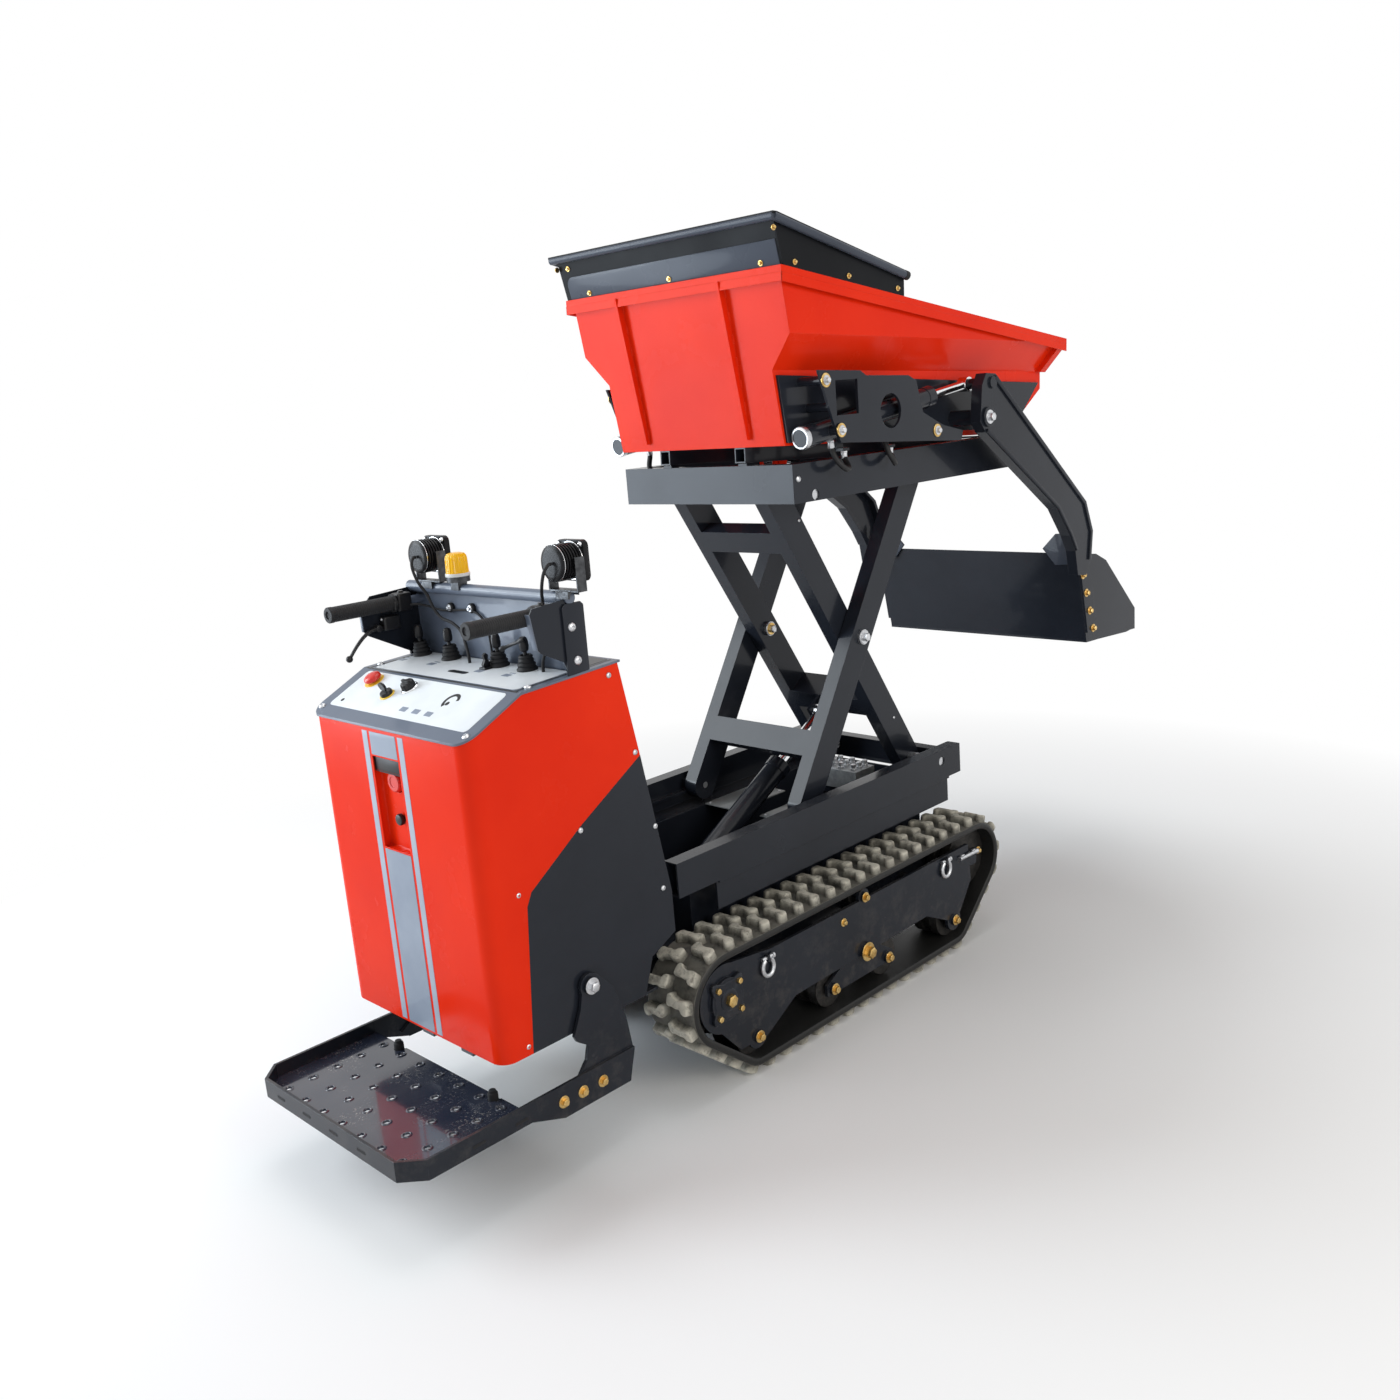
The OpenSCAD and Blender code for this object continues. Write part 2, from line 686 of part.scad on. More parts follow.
module shackles() {
    color("silver") both() for (p = shackle_at)
        translate([p[0], frame_out + 6.5, p[1] - 17]) rotate([90, 0, 0])
            rotate_extrude() translate([17, 0]) circle(r = 5);
}

module drive_motors() {
    color("#4a4f55") both() {
        bar_y([sprocket_x, sprocket_z], motor_r, frame_in - 98, frame_in);
        bar_y([sprocket_x, sprocket_z], 30, frame_in - 2, mid_y + 30);
    }
}

module sprocket(s) {
    color("#55595e") on_side(s) difference() {
        bar_y([sprocket_x, sprocket_z], sprocket_r - belt_gap, mid_y - 22, mid_y + 22);
        for (k = [0:sprocket_teeth - 1])
            let (a = 360 * k / sprocket_teeth)
                bar_y([sprocket_x + sprocket_r * cos(a), sprocket_z + sprocket_r * sin(a)], 15,
                      mid_y - 23, mid_y + 23);
        bar_y([sprocket_x, sprocket_z], 30 + run, mid_y - 23, mid_y + 23);
        for (k = [0:4])
            bar_y([sprocket_x + 60 * cos(72 * k + 18), sprocket_z + 60 * sin(72 * k + 18)], 14,
                  mid_y - 23, mid_y + 23);
    }
}

module sprocket_right() { sprocket(-1); }
module sprocket_left() { sprocket(1); }

// Wheel that the belt rolls on: two rims and a waist, about an axle
module belt_wheel(p, r, bore, w) {
    both() difference() {
        union() {
            bar_y(p, r - belt_gap, mid_y - w, mid_y - w / 3);
            bar_y(p, r - belt_gap, mid_y + w / 3, mid_y + w);
            bar_y(p, r * 0.78, mid_y - w, mid_y + w);
        }
        bar_y(p, bore + run, mid_y - w - 1, mid_y + w + 1);
    }
}

module idlers() { color("#55595e") belt_wheel([idler_x, idler_z], idler_r, 16, 40); }
module roller_1() { color("#55595e") belt_wheel([roller_first_x, roller_z], roller_r, axle_r, 46); }
module roller_2() { color("#55595e") belt_wheel([roller_2_x, roller_z], roller_r, axle_r, 46); }
module roller_3() { color("#55595e") belt_wheel([roller_3_x, roller_z], roller_r, axle_r, 46); }
module roller_4() { color("#55595e") belt_wheel([roller_last_x, roller_z], roller_r, axle_r, 46); }
module carrier_rollers() { color("#55595e") belt_wheel([carrier_x, carrier_z], carrier_r, 10, 40); }

// Engine block with cooling shroud, and the pump on its front
module engine() {
    color("#5c6066") {
        block([-1000, -150, con_low + 6], [-770, 150, 560]);
        block([-960, -90, 559], [-800, 90, 680]);
        bar_x([0, 480], 110, -1040, -999);
    }
    color("#44484d") bar_x([0, 470], 58, -770 + slip, -700);
}

module fuel_tank() {
    color("#c8281e") {
        block([con_rear + 55, -200, 770], [con_rear + 185, 200, 1050]);
        bar_x(cap_at, 18, con_rear + 27, con_rear + 56);
        block([con_rear + 34, -26, 872], [con_rear + 56, 12, 914]);
        both() block([con_rear + 60, 150, con_low + 6], [con_rear + 84, 174, 771]);
        both() block([con_rear + 150, 170, con_low + 6], [con_rear + 174, 194, 771]);
    }
}

module tank_cap() {
    color("#d0302a") difference() {
        bar_x(cap_at, 26, con_rear + 12, con_rear + 44);
        bar_x(cap_at, 18 + run, con_rear + 27 - slip, con_rear + 45);
    }
}

module battery() {
    color("#202326") block([-1050, 190, con_low + 6], [-880, 296, 540]);
}

// Valve bank under the levers, and the flow divider in the chassis
module valve_bank() {
    color("#6b7076") {
        block([lever_x - 45, -205, 1090], [lever_x + 35, 310, 1150]);
        for (y = lever_ys) translate([lever_x, y, 1149])
            cylinder(r = 14, h = dash_under(lever_x - 14) - 0.2 - 1149);
        block([405, -90, 520], [505, 60, 584]);
    }
}

// Solid that fills the console's plan, drawn in by an inset
module console_plan(inset, z0, z1) {
    block([con_rear + con_corner, -con_half + inset, z0], [-600, con_half - inset, z1]);
    block([con_rear + inset, -con_half + con_corner, z0], [con_rear + con_corner + 1, con_half - con_corner, z1]);
    both() translate([con_rear + con_corner, con_half - con_corner, z0])
        cylinder(r = con_corner - inset, h = z1 - z0);
}

// Red cover: rear wall and upper sides, with a window at the back
module console_cover() {
    color("#d2281c") intersection() {
        difference() {
            console_plan(0, con_low, 1300);
            console_plan(con_wall, con_low - 1, 1301);
            block([con_rear - 1, -50, 815], [con_rear + con_wall + 1, 63, 1045]);
        }
        plate_y(concat([[con_rear - 1, con_low], [con_rear - 1, dash_rear_z - tan(dash_a)],
                        [dash_fold_x, dash_fold_z], [dash_front_x, dash_front_z]], border),
                -con_half - 1, con_half + 1);
    }
}

// Dark lower side panels, and the sloped front panel between the sides
module console_panels() {
    color("#2e3238") {
        both() difference() {
            plate_y(concat([for (p = border) [p[0] + 0.4, p[1]]],
                           [[-790, con_low], [-756, 440], [-669, 480], front_foot]),
                    con_half - con_wall, con_half);
            bar_y([hinge_x, hinge_z], hinge_r + 2, con_half - con_wall - 1, con_half + 1);
        }
        plate_y([front_foot - [4, 0], front_foot, [dash_front_x, dash_front_z - 2],
                 [dash_front_x - 4, dash_front_z - 2]],
                -con_half + con_wall + slip, con_half - con_wall - slip);
    }
}

// Dash plate: folded once, standing a little past the console
module dash_plate() {
    color("#7d8a99") difference() {
        intersection() {
            union() {
                block([con_rear + con_corner, -con_half - dash_lip, 1000],
                      [dash_front_x + dash_lip, con_half + dash_lip, 1400]);
                block([con_rear - dash_lip, -con_half + con_corner, 1000],
                      [con_rear + con_corner + 1, con_half - con_corner, 1400]);
                both() translate([con_rear + con_corner, con_half - con_corner, 1000])
                    cylinder(r = con_corner + dash_lip, h = 400);
            }
            plate_y([[con_rear - dash_lip - 2, dash_rear_z - (dash_lip + 2) * tan(dash_a)],
                     [dash_fold_x, dash_fold_z],
                     [dash_front_x + dash_lip + 2, dash_front_z + (dash_lip + 2) * tan(deck_a)],
                     [dash_front_x + dash_lip + 2, dash_front_z + (dash_lip + 2) * tan(deck_a) + dash_up],
                     [dash_fold_x, dash_fold_z + dash_up],
                     [con_rear - dash_lip - 2, dash_rear_z - (dash_lip + 2) * tan(dash_a) + dash_up]],
                    -con_half - 20, con_half + 20);
        }
        on_dash(stop_at) translate([0, 0, -40]) cylinder(r = 8 + run, h = 80);
        on_dash(key_at) translate([0, 0, -40]) cylinder(r = 6 + run, h = 80);
        on_dash(rotary_at) translate([0, 0, -40]) cylinder(r = 5 + run, h = 80);
    }
}

// Handlebar: shield, side wings, posts, top tube and grip tubes welded together
module bar_panel() {
    function foot(x) = [x, dash_z(x) + slip];
    color("#3a3f45") {
        block([shield_x, -con_half, dash_z(shield_x + 4) + slip], [shield_x + 4, con_half, tube_z]);
        both() {
            plate_y([foot(shield_x + 1), foot(shield_x - 28), [shield_x - 172, 1280], [shield_x - 172, 1340],
                     [shield_x - 140, tube_z - 8], [shield_x + 1, tube_z]], con_half - 4, con_half);
            plate_y([foot(shield_x - 38), foot(shield_x + 26), [shield_x + 26, tube_z - 12],
                     [shield_x - 38, tube_z - 12]], con_half - 0.5, con_half + 6);
            bar_x([grip_y, grip_z], 11, shield_x - 92 - grip_len + 6, shield_x + 1);
        }
        bar_y([tube_x, tube_z], tube_r, -con_half - 6, con_half + 6);
    }
}

module grips() {
    color("#17181a") both() difference() {
        union() {
            bar_x([grip_y, grip_z], grip_r, shield_x - 92 - grip_len, shield_x - 92);
            bar_x([grip_y, grip_z], grip_r + 6, shield_x - 98, shield_x - 92);
        }
        bar_x([grip_y, grip_z], 11 + run, shield_x - 92 - grip_len + 6 - slip, shield_x - 90);
    }
}

// Brake lever on the left wing
brake_p = [shield_x - 136, 1300];
module brake_lever() {
    color("#1d1f22") {
        bar_y(brake_p, 9, con_half - 26, con_half - 4 - slip);
        aim(brake_p, 214) translate([0, con_half - 16, 0]) rotate([0, 90, 0]) cylinder(r = 5, h = 112);
        aim(brake_p, 214) translate([114, con_half - 16, 0]) sphere(r = 9);
    }
}

// Lever with a ball foot in the boot and a rounded knob
module control_lever(i) {
    color("#17181a") on_dash([lever_x, lever_ys[i]]) {
        translate([0, 0, 12]) sphere(r = 9);
        translate([0, 0, 12]) cylinder(r = lever_r, h = lever_h - 24);
        translate([0, 0, boot_h + 6]) cylinder(r = knob_r, h = lever_h - boot_h - 10);
        translate([0, 0, lever_h - 4]) cylinder(r = knob_r - 3, h = 4);
    }
}

module lever_1() { control_lever(0); }
module lever_2() { control_lever(1); }
module lever_3() { control_lever(2); }
module lever_4() { control_lever(3); }

module lever_boots() {
    top_r = 12 + lever_r - 5;
    color("#17181a") for (y = lever_ys) on_dash([lever_x, y]) translate([0, 0, 0.1]) difference() {
        rotate_extrude() polygon([[0, 0], [boot_r, 0], [boot_r, 5], [boot_r - 5, 10], [boot_r - 3, 15],
                                  [boot_r - 8, 20], [boot_r - 6, 25], [boot_r - 10, 30], [boot_r - 8, 34],
                                  [top_r + 2.5, boot_h], [0, boot_h]]);
        translate([0, 0, 12]) sphere(r = 9 + slip);
        rotate_extrude() polygon([[0, 8], [15, 8], [top_r, boot_h - 10], [top_r, boot_h + 1], [0, boot_h + 1]]);
    }
}

module e_stop() {
    color("#c8281e") on_dash(stop_at) {
        translate([0, 0, -14]) cylinder(r = 8, h = 22);
        translate([0, 0, 7]) cylinder(r = 20, h = 7);
        translate([0, 0, 13]) cylinder(r = 16, h = 5);
    }
}

module key() {
    color("silver") on_dash(key_at) {
        translate([0, 0, -14]) cylinder(r = 6, h = 22);
        translate([0, 0, slip]) cylinder(r = 11, h = 6);
        translate([-2, -11, 7]) cube([4, 22, 26]);
    }
}

module rotary_knob() {
    color("#17181a") on_dash(rotary_at) {
        translate([0, 0, -14]) cylinder(r = 5, h = 16);
        translate([0, 0, slip]) cylinder(r = 14, h = 12);
        translate([-3, -13, 11]) cube([6, 26, 6]);
    }
}

// Work lamp on a tilt axis, facing forward
module lamp(y) {
    color("#202326") translate([lamp_x, y, lamp_z]) difference() {
        union() {
            bar_x([0, 0], lamp_r, -40, 20);
            block([18, -lamp_w / 2, -lamp_w / 2], [34, lamp_w / 2, lamp_w / 2]);
        }
        both() bar_y([0, 0], 5 + run, 34, lamp_r + 1);
        bar_x([0, 0], lamp_r - 4, 26, 35);
    }
}

module lamp_right() { lamp(lamp_ys[0]); }
module lamp_left() { lamp(lamp_ys[1]); }

module lamp_brackets() {
    color("#9aa0a6") {
        for (y = lamp_ys) difference() {
            union() {
                translate([lamp_x, y, 0]) {
                    block([-14, -52, tube_z + tube_r + 1], [14, 52, tube_z + tube_r + 5]);
                    block([-20, -22, tube_z], [14, 22, tube_z + tube_r + 2]);
                    both() block([-14, lamp_w / 2 + 1.5, tube_z + tube_r + 1],
                                 [14, lamp_w / 2 + 4.5, lamp_z + 12]);
                    both() bar_y([0, lamp_z], 5, 35, lamp_w / 2 + 4);
                }
            }
            bar_y([tube_x, tube_z], tube_r + run, y - 60, y + 60);
        }
        difference() {
            union() {
                translate([beacon[0], beacon[1], tube_z]) {
                    block([-14, -16, 0], [14, 16, tube_r + 8]);
                    translate([0, 0, tube_r + 6]) cylinder(r = 30, h = 14);
                }
            }
            bar_y([tube_x, tube_z], tube_r + run, beacon[1] - 60, beacon[1] + 60);
        }
    }
}

module beacon() {
    color("orange") translate([beacon[0], beacon[1], tube_z + tube_r + 20])
        rotate_extrude() polygon([[0, 0], [31, 0], [31, 6], [29, 6], [29, 42], [26, 52], [18, 58], [0, 60]]);
}

// Lamp leads, from behind each lamp to the dash
near_lead = [[-950.6, -326, 1476], [-958, -326, 1475], [-966, -320, 1462], [-967, -310, 1440], [-958, -292, 1412],
             [-941, -270, 1385], [-932, -262, 1330], [-928, -245, 1270], [-930, -232, 1236], [-930, -230, dash_z(-930) + slip]];
far_lead = [[-950.6, 222, 1476], [-958, 222, 1475], [-966, 220, 1462], [-967, 215, 1440], [-960, 208, 1410],
            [-944, 202, 1380], [-935, 192, 1342], [-930, 170, 1318], [-928, 130, 1308], [-930, 90, 1288],
            [-938, 64, 1254], [-942, 52, 1230], [-942, 51, dash_z(-942) + slip]];
module lamp_cables() {
    color("#101113") {
        lead(near_lead, 4);
        lead(far_lead, 4);
    }
}

// Platform: tray edge, side arms and hook plates welded together
module platform() {
    cut = 52;
    edge = 8;
    outer = [[plat_front, -plat_half], [plat_rear + cut, -plat_half], [plat_rear, -plat_half + cut],
             [plat_rear, plat_half - cut], [plat_rear + cut, plat_half], [plat_front, plat_half]];
    inner = [[plat_front - edge, -plat_half + edge], [plat_rear + cut + 3, -plat_half + edge],
             [plat_rear + edge, -plat_half + cut + 3], [plat_rear + edge, plat_half - cut - 3],
             [plat_rear + cut + 3, plat_half - edge], [plat_front - edge, plat_half - edge]];
    lip = [[plat_front - 22, -plat_half + 22], [plat_rear + cut + 9, -plat_half + 22],
           [plat_rear + 22, -plat_half + cut + 9], [plat_rear + 22, plat_half - cut - 9],
           [plat_rear + cut + 9, plat_half - 22], [plat_front - 22, plat_half - 22]];
    color("#3a3f45") difference() {
        union() {
            difference() {
                translate([0, 0, plat_top - plat_edge]) linear_extrude(plat_edge) polygon(outer);
                translate([0, 0, tread_z - slip]) linear_extrude(plat_edge) {
                    polygon(inner);
                    translate([plat_front - 2 * edge, -plat_half + edge]) square([3 * edge, 2 * (plat_half - edge)]);
                }
                translate([0, 0, plat_top - plat_edge - 1]) linear_extrude(plat_edge) polygon(lip);
                translate([0, 0, plat_top - plat_edge - 1]) linear_extrude(plat_edge - 44) polygon(inner);
            }
            both() {
                plate_y([[plat_front - 7, plat_top - plat_edge], [plat_front + 90, 158], [-886, 158],
                         [-862, plat_top], [plat_front - 7, plat_top]], hook_out - 0.5, plat_half);
                plate_y([[hinge_x - 20, hinge_z + 20], [hinge_x - 36, hinge_z - 50], [hinge_x - 64, hinge_z - 112],
                         [hinge_x - 56, hinge_z - 128], [hinge_x - 24, hinge_z - 150],
                         [hinge_x - 34, hinge_z - 186], [hinge_x - 62, plat_top - 8], [-1120, 180], [-1100, 160],
                         [-886, 160], [-862, plat_top], [-874, 330], [-906, 424], [hinge_x + 20, hinge_z + 24]],
                        hook_in, hook_out);
                bar_y([hinge_x, hinge_z], 30, hook_in, hook_out);
            }
        }
        both() bar_y([hinge_x, hinge_z], hinge_r + run, hook_in - 1, hook_out + 1);
    }
}

// Tread plate with rows of punched holes, notched round the buffers
module tread_plate() {
    cut = 52;
    y1 = plat_half - 9;
    x0 = plat_rear + 8 + slip;
    x1 = plat_front - 1;
    color("#4a4f56") difference() {
        translate([0, 0, tread_z]) linear_extrude(tread_t) polygon([[x1, -y1], [x0 + cut - 5, -y1], [x0, -y1 + cut - 5],
            [x0, y1 - cut + 5], [x0 + cut - 5, y1], [x1, y1]]);
        for (i = [0:tread_rows - 1]) for (j = [0:tread_cols - 1])
            translate([x0 + 32 + i * tread_dx, (j - (tread_cols - 1) / 2) * tread_dy, tread_z - 1])
                cylinder(r = tread_hole_r, h = tread_t + 2);
        both() translate([bumper_x, bumper_y, tread_z - 1]) {
            cylinder(r = bumper_r + 1, h = tread_t + 2);
            translate([0, -bumper_r - 1, 0]) cube([60, 2 * bumper_r + 2, tread_t + 2]);
        }
    }
}

// Rubber buffers on the tray's front ledge, which meet the console when the platform is folded up
module bumpers() {
    color("#17181a") both() translate([bumper_x, bumper_y, tread_z]) {
        cylinder(r = bumper_r, h = bumper_h - 6);
        cylinder(r = bumper_r - 4, h = bumper_h);
    }
}

// One scissor arm from its own origin along +X, hollow, with round ends
module arm_bar(y0, y1) {
    difference() {
        union() {
            block([0, y0, -arm_d / 2], [arm_len, y1, arm_d / 2]);
            bar_y([0, 0], arm_d / 2, y0, y1);
            bar_y([arm_len, 0], arm_d / 2, y0, y1);
        }
        block([arm_d / 2 + 8, y0 + tube_wall, -arm_d / 2 + tube_wall],
              [arm_len - arm_d / 2 - 8, y1 - tube_wall, arm_d / 2 - tube_wall]);
    }
}

// Inner arms with their cross tube and the box that the lift cylinder pushes
module inner_arms() {
    color("#33383e") aim(front_pivot, 180 - lift_angle) difference() {
        union() {
            both() arm_bar(inner_arm_in, inner_arm_out);
            difference() {
                block([arm_len - inner_tie_at - 38, -inner_arm_in - 1, arm_d / 2 - 46],
                      [arm_len - inner_tie_at + 38, inner_arm_in + 1, arm_d / 2]);
                block([arm_len - inner_tie_at - 33, -inner_arm_in - 2, arm_d / 2 - 41],
                      [arm_len - inner_tie_at + 33, inner_arm_in + 2, arm_d / 2 - 5]);
            }
            difference() {
                block([lift_box_at - 36, -inner_arm_in - 1, -arm_d / 2],
                      [lift_box_at + 36, inner_arm_in + 1, arm_d / 2]);
                block([lift_box_at - 30, -inner_arm_in - 2, -arm_d / 2 + 6],
                      [lift_box_at + 30, inner_arm_in + 2, arm_d / 2 - 6]);
            }
            both() {
                block([lift_box_at - 30, eye_w + slip, arm_d / 2 - 1],
                      [lift_box_at + 30, eye_w + slip + ear_t, lift_eye_off + 24]);
                bar_y([lift_box_at, lift_eye_off], 18, eye_w + slip + ear_t - 1, eye_w + slip + ear_t + 7);
            }
        }
        both() for (s = [0, arm_len / 2, arm_len])
            bar_y([s, 0], pin_r + run, inner_arm_in - 1, inner_arm_out + 1);
    }
}

// Outer arms with their cross tube
module outer_arms() {
    color("#33383e") aim(low_roller, lift_angle) difference() {
        union() {
            both() arm_bar(outer_arm_in, outer_arm_out);
            difference() {
                block([outer_tie_at - 40, -outer_arm_in - 1, arm_d / 2 - 50],
                      [outer_tie_at + 40, outer_arm_in + 1, arm_d / 2]);
                block([outer_tie_at - 35, -outer_arm_in - 2, arm_d / 2 - 45],
                      [outer_tie_at + 35, outer_arm_in + 2, arm_d / 2 - 5]);
            }
        }
        both() {
            bar_y([arm_len / 2, 0], pin_r + run, outer_arm_in - 1, outer_arm_out + 1);
            for (s = [0, arm_len]) bar_y([s, 0], 10 + run, outer_arm_in - 1, outer_arm_out + 1);
        }
    }
}

// Pivot pins held in the inner arms
module arm_pins() {
    color("#8d9298") both() {
        bar_y(front_pivot, pin_r, inner_arm_in - 8, rail_out - 4);
        bar_y(front_pivot, pin_r + 8, inner_arm_in - 12, inner_arm_in - slip);
        bar_y(top_pivot, pin_r, inner_arm_in - 8, uf_out - 4);
        bar_y(top_pivot, pin_r + 8, inner_arm_in - 12, inner_arm_in - slip);
        bar_y(mid_pivot, pin_r, inner_arm_in - 8, outer_arm_out + 8);
        bar_y(mid_pivot, pin_r + 8, inner_arm_in - 12, inner_arm_in - slip);
        bar_y(mid_pivot, pin_r + 8, outer_arm_out + slip, outer_arm_out + 10);
    }
}

// Rollers at the free ends of the outer arms, each on its stub
module arm_rollers() {
    color("#8d9298") both() for (p = [low_roller, high_roller]) {
        bar_y(p, 10, outer_arm_in, outer_arm_out + 5);
        bar_y(p, arm_roller_r, outer_arm_out + slip, outer_arm_out + 24);
    }
}

// Cylinder barrel along +X from its foot eye; the bore takes the rod
module barrel(r, l, rod_r, eye_r) {
    difference() {
        union() {
            bar_y([0, 0], eye_r, -eye_w, eye_w);
            bar_x([0, 0], 18, 0, 44);
            bar_x([0, 0], r, 42, l);
            bar_x([0, 0], r + 3, l - 34, l);
        }
        bar_y([0, 0], 12 + run, -eye_w - 1, eye_w + 1);
        bar_x([0, 0], rod_r + run, 90, l + 1);
    }
}

// Cylinder rod with a solid eye at distance l from the foot
module rod(rod_r, l, s, eye_r) {
    bar_x([0, 0], rod_r, s, l - eye_r + 6);
    bar_y([l, 0], eye_r, -eye_w, eye_w);
}

module lift_barrel() {
    color("#33383e") aim(lift_foot, aim_a(lift_foot, lift_eye)) barrel(lift_barrel_r, 500, lift_rod_r, 26);
}

module lift_rod() {
    color("#c9cdd2") aim(lift_foot, aim_a(lift_foot, lift_eye)) rod(lift_rod_r, lift_l, 270, 26);
}

module tip_barrel() {
    color("#33383e") aim(tip_foot, aim_a(tip_foot, tip_eye)) barrel(tip_barrel_r, 600, tip_rod_r, 26);
}

module tip_rod() {
    color("#c9cdd2") aim(tip_foot, aim_a(tip_foot, tip_eye)) rod(tip_rod_r, tip_l, 380, 24);
}

// Upper frame: rear beam, side beams, high cross members, tip bearings
module upper_frame() {
    side_x = uf_rear + rear_beam;
    pad = skip_z - (uf_rear - skip_x) * tan(skip_tilt) - 42 / cos(skip_tilt) - 2;
    color("#33383e") difference() {
        union() {
            difference() {
                block([uf_rear, -uf_out, uf_bot], [side_x, uf_out, uf_top]);
                block([uf_rear + 5, -uf_out + 8, uf_bot + 5], [side_x - 5, uf_out - 8, uf_top - 5]);
                block([uf_rear + 10, -60, uf_bot - 1], [side_x - 10, 60, uf_bot + 6]);
            }
            both() {
                difference() {
                    block([side_x - 1, uf_in, uf_bot], [uf_front, uf_out, uf_top]);
                    block([side_x + 6, uf_in + 5, uf_bot + 5], [uf_front + 1, uf_out - 5, uf_top - 5]);
                }
                // Ledge over the upper arm rollers
                block([pivot_x - up_dx - 42, outer_arm_out + 5, uf_pivot[1] + arm_roller_r + slip],
                      [uf_front - 4, uf_in + 1, uf_pivot[1] + arm_roller_r + 9]);
                // Tip bearings and pins
                plate_y([[tip_x - 16, 1590], [uf_front - 4, 1590], [uf_front - 8, uf_top + 2],
                         [tip_x + 16, tip_z + 2], [tip_x - 16, tip_z + 2]], uf_in - 20, uf_in + 0.5);
                bar_y(tip_p, 16.5, uf_in - 20, uf_in + 0.5);
                bar_y(tip_p, tip_pin_r, 206, uf_in - 10);
                // Rests under the skip bearers
                block([uf_rear + 2, 134, uf_top - 1], [side_x - 2, 166, pad]);
                // Tip cylinder foot
                plate_y([[tip_base_x - 18, tip_base_z - 18], [tip_base_x + 70, tip_base_z - 18], [tip_base_x + 70, 1596],
                         [tip_base_x + 22, 1596], [tip_base_x - 18, tip_base_z + 18]],
                        eye_w + slip, eye_w + slip + ear_t);
            }
            block([uf_front - 30, -uf_in - 1, 1584], [uf_front - 2, uf_in + 1, 1615]);
            block([tip_base_x + 22, -uf_in - 1, 1584], [tip_base_x + 86, uf_in + 1, 1615]);
            bar_y(tip_foot, 12, -eye_w - ear_t - slip, eye_w + ear_t + slip);
        }
        both() bar_y(uf_pivot, pin_r + run, uf_in - 2, uf_out + 1);
    }
}

// Skip section in Y and Z, drawn in by an inset
function skip_section(w) = let (d = w * (sqrt(1 + side_m * side_m) - side_m)) [
    [-skip_low_half + w, w], [skip_low_half - w, w], [skip_low_half - w, skip_low_h + d],
    [skip_top_half - w, skip_fold_h + d], [skip_top_half - w, 700], [-skip_top_half + w, 700],
    [-skip_top_half + w, skip_fold_h + d], [-skip_low_half + w, skip_low_h + d]
];

// Tipping skip: folded tray, rim, ribs, tip knuckles and the tip cylinder's ears
module skip() {
    w = skip_wall;
    ramp_up = w * sqrt(1 + ramp_m * ramp_m);
    lean_w = w * sqrt(1 + lean_m * lean_m);
    p = to_skip(tip_p);
    e = to_skip(tip_eye);
    rib_h = rim_rear_h - 16;
    color("#d2281c") in_skip() difference() {
        union() {
            difference() {
                intersection() {
                    plate_x(skip_section(0), -200, skip_len);
                    plate_y([[0, 0], [ramp_at, 0], [skip_len, lip_h], [skip_len, rim_h(skip_len)],
                             [-skip_lean, rim_rear_h]], -500, 500);
                }
                intersection() {
                    plate_x(skip_section(w), -300, skip_len + 60);
                    plate_y([[lean_w - w * lean_m, w], [ramp_at - (ramp_up - w) / ramp_m, w],
                             [skip_len + 60, (skip_len + 60 - ramp_at) * ramp_m + ramp_up], [skip_len + 60, 690],
                             [lean_w - 690 * lean_m, 690]], -500, 500);
                }
            }
            // Rim
            intersection() {
                difference() {
                    block([-skip_lean - rim_w + 6, -skip_top_half - rim_w, 100],
                          [skip_len, skip_top_half + rim_w, 600]);
                    block([-skip_lean + 3, -skip_top_half + 2, 99], [skip_len + 1, skip_top_half - 2, 601]);
                }
                plate_y([[-200, rim_h(-200) - rim_w], [skip_len + 50, rim_h(skip_len + 50) - rim_w],
                         [skip_len + 50, rim_h(skip_len + 50)], [-200, rim_h(-200)]], -600, 600);
            }
            both() {
                // Ribs on the rear wall
                plate_y([[-20 * lean_m + 2, 20], [-rib_h * lean_m + 2, rib_h], [-rib_h * lean_m - 22, rib_h],
                         [-20 * lean_m - 14, 20]], 196, 204);
                // Edge at the front of the side wall
                plate_x([[skip_low_half - 1, skip_low_h + 1], [skip_low_half + 20, skip_low_h - 4],
                         [skip_top_half + 16, skip_fold_h - 8], [skip_top_half + 16, rim_front_h - 10],
                         [skip_top_half - 1, rim_front_h - 10], [skip_top_half - 1, skip_fold_h + 1]],
                        skip_len - 34, skip_len);
                bar_y(p, 21, 200, uf_in - 20 - slip);
                plate_y([[p[0] - 14, p[1]], [p[0] + 14, p[1]], [p[0] + 14, floor_h(p[0] + 14) + 1],
                         [p[0] - 14, floor_h(p[0] - 14) + 1]], 200, uf_in - 20 - slip);
                plate_y([[e[0] - 34, 1], [e[0] + 34, 1], [e[0] + 24, e[1] - 24], [e[0] - 24, e[1] - 24]],
                        eye_w + slip, eye_w + slip + ear_t);
                bar_y(e, 17, eye_w + slip + ear_t - 1, eye_w + slip + ear_t + 7);
            }
        }
        both() bar_y(p, tip_pin_r + run, 199, uf_in);
    }
}

module skip_bearers() {
    color("#33383e") in_skip() both() tube_x([8, 130, -42], [990, 170, 0], 4);
}

